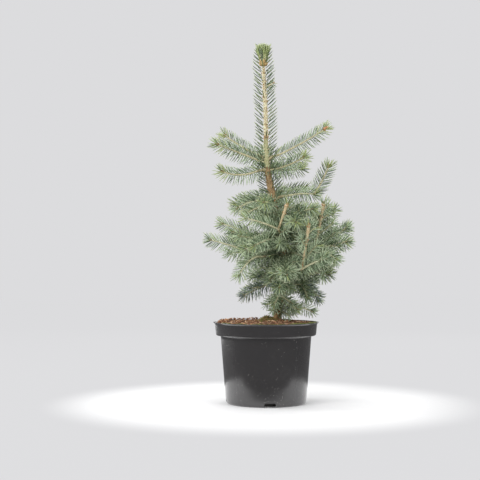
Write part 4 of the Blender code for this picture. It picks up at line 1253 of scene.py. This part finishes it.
def stem_needles(shoot, path, top, rng):
    """The needles along a shoot, in a spiral, or in rings on the trunk, and how high its last one is."""
    ahead, up, side = frames_of(path, top)
    on_trunk = shoot.order == 0
    count = int(shoot.length() * NEEDLE_PER_M[shoot.order])
    index = np.arange(count)
    share = (index + 0.5) / count
    turn = index * GOLDEN_TURN + rng.uniform(0, 2 * math.pi)
    if on_trunk:
        ring = index // LEADER_RING
        share = ((ring + 0.5) * LEADER_RING / count + rng.normal(0, LEADER_RING_SPREAD, count)).clip(0, 1)
        turn = index * 2 * math.pi / LEADER_RING + ring * LEADER_RING_TURN
    at = share * (len(path) - 1)
    i = np.minimum(at.astype(int), len(path) - 2)
    middle = path[i] + (path[i + 1] - path[i]) * (at - i)[:, None]
    turn = turn - PARTING * np.sin(2 * turn) + rng.normal(0, TURN_SPREAD, count)
    out = up[i] * np.cos(turn)[:, None] + side[i] * np.sin(turn)[:, None]
    below = 0.5 - 0.5 * np.cos(turn) if top is UP else np.full(count, STEEP_BELOW)
    lean = np.full(count, LEADER_LEAN) if on_trunk else LEAN_ABOVE + (LEAN_BELOW - LEAN_ABOVE) * below
    lean = lean + ((CROWN_LEAN if on_trunk else LEAN_AT_TIP) - lean) * share ** (9 if on_trunk else 6)
    lean = lean + rng.normal(0, LEADER_LEAN_SPREAD if on_trunk else LEAN_SPREAD, count)
    way = leaning(ahead[i], out, lean)
    bent = unit_rows(way + ahead[i] * BEND_AHEAD + UP * BEND_UP)
    stem = shoot.thick + (shoot.thin - shoot.thick) * share
    if on_trunk:
        stem = np.array([trunk_radius(z) if z <= TRUNK_TIP_Z else PAST_TIP_R for z in middle[:, 2]])
    reach = needle_length(shoot, middle[:, 2], count, NEEDLE_LENGTH_SPREAD, rng)
    reach = reach * (1.0 - SHORTER_AT_TIP * np.clip(share * 8 - 7, 0, 1))
    reach = reach * (1.0 - SHORTER_AT_FOOT * (1.0 - np.clip(share * 10, 0, 1)))
    facing = out[:, 1] * (1.0 if middle[:, 1].mean() > BACK_FROM_Y else -1.0)
    covering = np.clip((facing - THINNED_FROM[0]) / (THINNED_FROM[1] - THINNED_FROM[0]), 0.0, 1.0)
    kept = rng.random(count) > THINNED[shoot.order] * covering
    if shoot.shown:
        kept = facing < SHOWN_BARE_TO
    if shoot.stunted:
        reach = reach * STUNTED
    roots = middle + out * stem[:, None] * 0.9 + way * PEG_LENGTH[shoot.order] * PEG_OUT[shoot.order]
    width = np.full(count, NEEDLE_HALF_WIDTH[shoot.order])
    return Needles(roots, way, bent, reach, share, out, kept, width), middle[-1, 2]


def tuft_needles(shoot, path, top, tip_z, rng):
    """The needles round the bud at a shoot's tip. The leader's make the crown's level, domed top."""
    ahead, up, side = frames_of(path, top)
    count = TUFTS[shoot.order]
    outwards = (np.arange(count) + 0.5) / count
    turn = np.arange(count) * GOLDEN_TURN
    least, most = TUFT_LEAN[shoot.order]
    out = up[-1] * np.cos(turn)[:, None] + side[-1] * np.sin(turn)[:, None]
    way = leaning(ahead[-1], out, least + (most - least) * np.sqrt(outwards))
    roots = path[-1] + out * (TUFT_SPREAD[shoot.order] * np.sqrt(outwards))[:, None]
    roots = roots - ahead[-1] * TUFT_DEPTH[shoot.order] * rng.random(count)[:, None]
    reach = needle_length(shoot, tip_z, count, TUFT_SHORTER, rng)
    if shoot.order == 0:
        to_top = (cad_high[2] - roots[:, 2]) / np.maximum(way[:, 2], 0.3)
        to_top = to_top * rng.uniform(*CROWN_LEVEL, count) * (1.0 - CROWN_DOME * outwards**2)
        reach = np.minimum(to_top, CROWN_NEEDLE)
    bent = unit_rows(way + UP * BEND_UP)
    at_tip, whole = np.full(count, 0.99), np.ones(count, bool)
    return Needles(roots, way, bent, reach, at_tip, out, whole, np.full(count, NEEDLE_HALF_WIDTH[1]))


def clipped(rows):
    """Needles cut to the length that keeps their tips inside the plant's box."""
    low, high = np.array(cad_low), np.array(cad_high)
    run = 0.5 * (rows.way + rows.bent)
    ahead, back = (high - rows.roots) / np.maximum(run, 1e-9), (rows.roots - low) / np.maximum(-run, 1e-9)
    room = np.where(run > 0, ahead, back).min(axis=1)
    return rows._replace(reach=np.minimum(rows.reach, np.maximum(room, NEEDLE_LEAST)))


SHOOT_STEP = 0.0024                     # spacing of the rings along a shoot
rng = np.random.default_rng(NEEDLE_SEED)
needles = []
for shoot in shoots:
    path = evenly(shoot.path, SHOOT_STEP)
    top = top_for(path, STEEP_SHOOT)
    rows, tip_z = stem_needles(shoot, path, top, rng)
    if not shoot.stunted and (shoot.mass == "leader" or not shoot.bare_wood):
        tuft = tuft_needles(shoot, path, top, tip_z, rng)
        rows = Needles(*(np.concatenate(pair) for pair in zip(rows, tuft)))
    needles.append(clipped(rows))

TWIG_SIDES = 8
TWIG_ROUGH = 0.06
SHOWN_SWELL = 1.75                      # an old upright tip is thicker at its end
HIGH_FROM_Z = 0.40
PEG_FACES = ((0, 1, 4, 3), (1, 2, 5, 4), (2, 0, 3, 5), (3, 4, 5))
TWIG_BARKS = (
    ("shoot_skin_high", (0.400, 0.360, 0.190), (0.720, 0.670, 0.440), 640.0, 0.0002, 0.65),
    ("shoot_skin_low", (0.440, 0.420, 0.240), (0.760, 0.740, 0.520), 640.0, 0.0002, 0.7),
    ("twig_skin_low", (0.340, 0.320, 0.170), (0.620, 0.600, 0.400), 640.0, 0.0002, 0.7),
    ("shown_skin", (0.460, 0.350, 0.190), (0.720, 0.600, 0.380), 640.0, 0.0003, 0.7),
    ("old_pegs", (0.160, 0.105, 0.050), (0.460, 0.340, 0.190), 640.0, 0.0003, 0.8),
    ("leader_pegs", (0.640, 0.520, 0.290), (0.900, 0.840, 0.620), 640.0, 0.0002, 0.6),
)
HIGH_SKIN, LOW_SKIN, TWIG_SKIN, SHOWN_SKIN, OLD_PEGS, LEADER_PEGS = range(len(TWIG_BARKS))
TRUNK_PEGS = {"internode": OLD_PEGS, "leader": LEADER_PEGS}
heap = Heap()
for number, (shoot, rows) in enumerate(zip(shoots, needles)):
    skin = LOW_SKIN if shoot.order == 1 else TWIG_SKIN
    if shoot.shown:
        skin = SHOWN_SKIN
    elif shoot.path[:, 2].mean() > HIGH_FROM_Z:
        skin = HIGH_SKIN
    tint = TRUNK_PEGS.get(shoot.mass, skin)
    if not shoot.bare_wood:
        path = evenly(shoot.path, SHOOT_STEP)
        radii = shoot.thick + (shoot.thin - shoot.thick) * np.linspace(0, 1, len(path)) ** 1.5
        if shoot.shown:
            radii = np.linspace(shoot.thick, shoot.thick * SHOWN_SWELL, len(path))
        heap.add(*tube(path, radii, TWIG_SIDES, TWIG_ROUGH, number), tint)
    side = unit_rows(np.cross(rows.way, rows.out + 0.01))
    other = np.cross(side, rows.way)
    peg_length, peg_r = PEG_LENGTH[shoot.order], PEG_R[shoot.order]
    foot = rows.roots - rows.way * peg_length * (0.5 + PEG_OUT[shoot.order])
    end = rows.roots + rows.way * peg_length * 0.25
    corners = [foot + side * peg_r * 1.5, foot - side * peg_r * 1.5, foot - other * peg_r * 2.4,
               end + side * peg_r, end - side * peg_r, end - other * peg_r]
    starts = len(corners) * np.arange(len(rows.roots))[:, None]
    faces = [peg_face for face in PEG_FACES for peg_face in (starts + np.array(face)).tolist()]
    heap.add(np.stack(corners, axis=1).reshape(-1, 3), faces, tint)
twigs = heap.piece("twigs")
add_barks(twigs, TWIG_BARKS)
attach(twigs, "root")

# ---------------------------------------------------------------------------------------------
# Needles. Stiff four-sided needles with a waxy blue-green bloom and a pale point. The youngest, at
# the shoots' tips and on the leader, are yellow-green, and those inside are darker. The lowest
# sprays and the internode's needles are painted in shade, dark and bluish.

DARK, MID, LIGHT, FRESH, OLIVE, SHADE_SLATE, SHADE_PALE_BLUE, POINT = range(8)
NEEDLE_TINTS = {
    DARK: (0.115, 0.160, 0.088),
    MID: (0.240, 0.328, 0.198),
    LIGHT: (0.520, 0.625, 0.420),
    FRESH: (0.400, 0.470, 0.190),
    OLIVE: (0.190, 0.240, 0.100),
    # these two bluish tints are painted shade, for the lowest sprays and the internode
    SHADE_SLATE: (0.140, 0.185, 0.165),
    SHADE_PALE_BLUE: (0.330, 0.400, 0.360),
    "point": (0.480, 0.530, 0.340),
}
# shares of the tints in each part of the crown
LEADER_TINTS = {OLIVE: 0.40, DARK: 0.50, MID: 0.10}
UPPER_TINTS = {DARK: 0.26, OLIVE: 0.17, MID: 0.29, LIGHT: 0.28}
LOW_TINTS = {DARK: 0.24, MID: 0.30, LIGHT: 0.46}
SHADED_TINTS = {DARK: 0.58, OLIVE: 0.16, MID: 0.18, LIGHT: 0.08}       # whole sprays below the crown
BLOOMED_TINTS = {DARK: 0.04, MID: 0.26, LIGHT: 0.70}
SHADED_SHARE, BLOOMED_SHARE = 0.24, 0.24
TWIG_TINTS = {DARK: 0.20, MID: 0.42, LIGHT: 0.38}
INNER_TINTS = {DARK: 0.16, OLIVE: 0.14, MID: 0.38, LIGHT: 0.32}
# painted shade: the lowest sprays, below the crown, are dark and bluish
LOWEST_SHADE_TINTS = {SHADE_SLATE: 0.44, DARK: 0.10, SHADE_PALE_BLUE: 0.22, MID: 0.24}
# painted shade: the internode's needles, under the upper whorl, are mostly dark
INTERNODE_SHADE_TINTS = {DARK: 0.80, SHADE_SLATE: 0.20}
GREENER_FROM_Z = 0.325
LOWEST_TO_Z = 0.236
INNER_R = 0.042
YOUNG_FROM = (0.975, 0.84, 0.9, 0.95)   # share of a shoot past which its needles are young, by order
YOUNG_FROM_GREENER = 0.78
FRESH_ODDS = (0.12, 0.36, 0.60, 0.70)   # low down, greener, high up, on the leader
NEEDLE_REGIONS = {
    "needles_top": ("leader", "internode"),
    "needles_upper": ("upper",),
    "needles_middle": ("middle",),
    "needles_left": ("left", "foot_left"),
    "needles_front": ("front",),
    "needles_right": ("right", "foot_right"),
    "needles_back": ("back",),
}
AROUND = ((1, 0), (0, 1), (-1, 0), (0, -1))


def needle_mesh(rows):
    """Needles' points and faces: four-sided, narrowed at the root, bent a little, with a pointed tip."""
    roots, way, bent, reach = rows.roots, rows.way, rows.bent, rows.reach[:, None]
    side = np.cross(way, bent)
    flat = np.linalg.norm(side, axis=1) < 1e-4
    side[flat] = np.cross(way[flat], (0.3, 0.9, 0.2))
    side = unit_rows(side)
    other = np.cross(side, way) * NEEDLE_HALF_DEPTH
    rings, faces = [], []
    for t, share in NEEDLE_RINGS:
        middle = roots + (way * t + (bent - way) * t * t / 2) * reach
        width = share * rows.width[:, None]
        rings += [middle + (side * across + other * deep) * width for across, deep in AROUND]
    rings.append(roots + (way + bent) / 2 * reach)
    tip = len(rings) - 1
    pairs = [(k, (k + 1) % 4) for k in range(4)]
    for a in range(0, tip - 4, 4):
        faces += [(a + i, a + j, a + 4 + j, a + 4 + i) for i, j in pairs]
    point_from = len(faces)
    faces += [(tip - 4 + i, tip - 4 + j, tip) for i, j in pairs]
    faces.append((3, 2, 1, 0))
    return np.stack(rings, axis=1), faces, point_from


def tints_for(shoot, share, rng):
    """Each needle's tint, dealt out by spray: fresh at tips, dark inside, and painted shade, dark and bluish,
    low down and on the internode.
    """
    x, y, z = shoot.path.mean(axis=0)
    on_trunk, high_up, greener = shoot.order == 0, z > HIGH_FROM_Z, z > GREENER_FROM_Z
    if on_trunk:
        shares = INTERNODE_SHADE_TINTS if shoot.mass == "internode" else LEADER_TINTS
    elif high_up:
        shares = UPPER_TINTS
    elif math.hypot(x - trunk_value(z, 1), y) < INNER_R:
        shares = INNER_TINTS
    else:
        shares = LOWEST_SHADE_TINTS if z < LOWEST_TO_Z else LOW_TINTS if shoot.order == 1 else TWIG_TINTS
    if not on_trunk and LOWEST_TO_Z < z < HIGH_FROM_Z:
        luck = rng.random()
        bloomed = luck > 1 - BLOOMED_SHARE
        shares = SHADED_TINTS if luck < SHADED_SHARE else BLOOMED_TINTS if bloomed else shares
    tints = rng.choice(list(shares), len(share), p=list(shares.values()))
    young = YOUNG_FROM_GREENER if greener and shoot.order == 1 else YOUNG_FROM[shoot.order]
    odds = FRESH_ODDS[3 if on_trunk else 2 if high_up else 1 if greener else 0]
    return np.where((share > young) & (rng.random(len(share)) < odds), FRESH, tints)


needle_looks = [
    patchy_material(f"needle_{label}", tint, (900.0, 3.0, 0.6), (0.42, 0.62), (0.0001, 0.4))
    for label, tint in NEEDLE_TINTS.items()
]
for piece_name, stems in NEEDLE_REGIONS.items():
    points, faces, tints, count = [], [], [], 0
    for shoot, rows in zip(shoots, needles):
        if not shoot.mass.startswith(stems):
            continue
        rows = Needles(*(column[rows.kept] for column in rows))
        needle_points, needle_faces, point_from = needle_mesh(rows)
        number, per = needle_points.shape[:2]
        tint = tints_for(shoot, rows.share, rng)
        for index, face in enumerate(needle_faces):
            faces += (np.array(face)[None] + (per * np.arange(number))[:, None] + count).tolist()
            pointed = point_from <= index < point_from + 4
            tints.append(np.full(number, POINT) if pointed else tint)
        points.append(needle_points.reshape(-1, 3))
        count += number * per
    piece = linked(piece_name, mesh_of(piece_name, np.vstack(points), faces, np.concatenate(tints)))
    for look in needle_looks:
        piece.data.materials.append(look)
    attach(piece, "root")
    masses = [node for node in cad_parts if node.endswith("_needles")]
    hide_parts(*[node for node in masses if node.startswith(stems)])

# ---------------------------------------------------------------------------------------------
# Buds. Winter buds wrapped in papery orange-brown scales sit round the tip of every shoot, in a ring
# below the leader's crown, and as old knobs on the upright tips of the front limbs.

BUD_RINGS = 12
BUD_SIDES = 12
BUD_SCALES = 5                          # turns of overlapping scales up a bud
BUD_FLARE = 0.16
BUD_FOOT = 0.62                         # its girth there, as a share
# length and radius
TIP_BUD = (0.0044, 0.0017)
SIDE_BUD = (0.0034, 0.0013)
CROWN_BUD = (0.0088, 0.0030)
TOP_BUD = (0.0085, 0.0030)
KNOB_BUD = (0.0058, 0.0027)
KNOB_SIDE_BUD = (0.0032, 0.0014)
YOUNG_BUD = (0.0078, 0.0028)            # the largest, on the upper right shoot
NEIGHBOUR = 0.8                         # size of the buds beside one at a tip
FINE_BUDS_FROM_Z = 0.36                 # below it only the larger shoots have buds
CROWN_BUDS = 9
CROWN_BUD_Z = (0.6240, 0.6280)
# share of an upright tip and turn round it, for the small buds along it
KNOB_SIDE_BUDS = ((0.72, 0.3), (0.70, 2.6), (0.45, 4.4), (0.2, 1.2))
# height and bearing
LEADER_BUDS = (
    (0.5640, 205.0), (0.5560, -20.0), (0.5920, 60.0), (0.6080, 160.0),
    (0.5240, 100.0), (0.4905, 250.0), (0.4890, -70.0), (0.4900, 20.0),
)
BUD_BARKS = (
    ("bud_scales", (0.200, 0.105, 0.045), (0.460, 0.280, 0.130), 900.0, 0.0002, 0.55),
    ("old_knobs", (0.300, 0.180, 0.085), (0.600, 0.400, 0.210), 800.0, 0.0003, 0.75),
    ("green_scales", (0.200, 0.170, 0.080), (0.420, 0.380, 0.220), 900.0, 0.0002, 0.6),
    ("gold_scales", (0.260, 0.165, 0.055), (0.600, 0.430, 0.180), 900.0, 0.0002, 0.6),
    ("young_scales", (0.420, 0.170, 0.070), (0.740, 0.370, 0.190), 900.0, 0.0002, 0.6),
)
BROWN, KNOB, GREEN, GOLD, YOUNG = range(len(BUD_BARKS))
bud_heap = Heap()


def add_bud(foot, way, size, tint, turn=0.0):
    """A bud: an egg on its foot, whose overlapping scales stand out at their tips."""
    length, radius = size
    way = unit(np.asarray(way, float))
    side = unit(np.cross(way, (0.31, 0.87, 0.37)))
    other = np.cross(way, side)
    points = []
    for ring in range(BUD_RINGS + 1):
        t = ring / BUD_RINGS
        girth = math.sin(math.pi * min(t, 0.985) ** 0.72) ** 0.75 if ring else BUD_FOOT
        for i in range(BUD_SIDES):
            a = 2 * math.pi * i / BUD_SIDES + turn
            scale = (t * BUD_SCALES + 3 * i / BUD_SIDES) % 1.0
            r = radius * girth * (1.0 + BUD_FLARE * scale)
            points.append(foot + way * length * t + (side * math.cos(a) + other * math.sin(a)) * r)
    points += [foot, foot + way * length * 1.04]
    bud_heap.add(points, capped_rings(BUD_RINGS + 1, BUD_SIDES), tint)


def sideways(ahead, swing):
    """The direction square to a shoot at a turn round it."""
    across = unit(np.cross(ahead, (0.0, 0.7, 0.7)))
    return across * math.cos(swing) + np.cross(ahead, across) * math.sin(swing)


def level_out(bearing):
    return np.array((math.cos(bearing), math.sin(bearing), 0.0))


rng = np.random.default_rng(NEEDLE_SEED + 1)
for shoot in shoots:
    if shoot.bare_wood or shoot.order > 1 and shoot.path[-1][2] < FINE_BUDS_FROM_Z:
        continue
    tip, ahead = along(shoot.path, 1.0)
    size = KNOB_BUD if shoot.shown else TIP_BUD if shoot.order == 1 else SIDE_BUD
    tint = KNOB if shoot.shown else BROWN if tip[2] > HIGH_FROM_Z else GREEN
    if shoot.mass == "upper_right":
        size, tint = YOUNG_BUD, YOUNG
    add_bud(tip - ahead * size[0] * 0.2, ahead, size, tint)
    if shoot.order == 2:
        continue
    around = 4 if shoot.shown else 2
    for k in range(around):
        out = sideways(ahead, 2 * math.pi * k / around + rng.uniform(0, 1))
        foot = tip - ahead * size[0] * rng.uniform(0.5, 0.9) + out * shoot.thin * 0.8
        add_bud(foot, ahead + out * 0.9, (size[0] * NEIGHBOUR, size[1] * NEIGHBOUR), tint, k)
    if shoot.shown:
        for share, swing in KNOB_SIDE_BUDS:
            place, ahead = along(shoot.path, share)
            out = sideways(ahead, swing)
            add_bud(place + out * shoot.thick, ahead * 0.7 + out, KNOB_SIDE_BUD, tint, share)
for k in range(CROWN_BUDS):
    out = level_out(2 * math.pi * (k + 0.3 * rng.random()) / CROWN_BUDS)
    add_bud(trunk_place(CROWN_BUD_Z[k % 2]) + out * 0.0018, out + UP * 0.9, CROWN_BUD, GOLD, k)
add_bud(trunk_place(TRUNK_TIP_Z), UP, TOP_BUD, BROWN)
for z, bearing in LEADER_BUDS:
    out = level_out(math.radians(bearing))
    add_bud(trunk_place(z) + out * trunk_radius(z) * 0.7, out + UP * 1.1, TIP_BUD, KNOB, z)
buds = bud_heap.piece("buds")
add_barks(buds, BUD_BARKS)
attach(buds, "root")
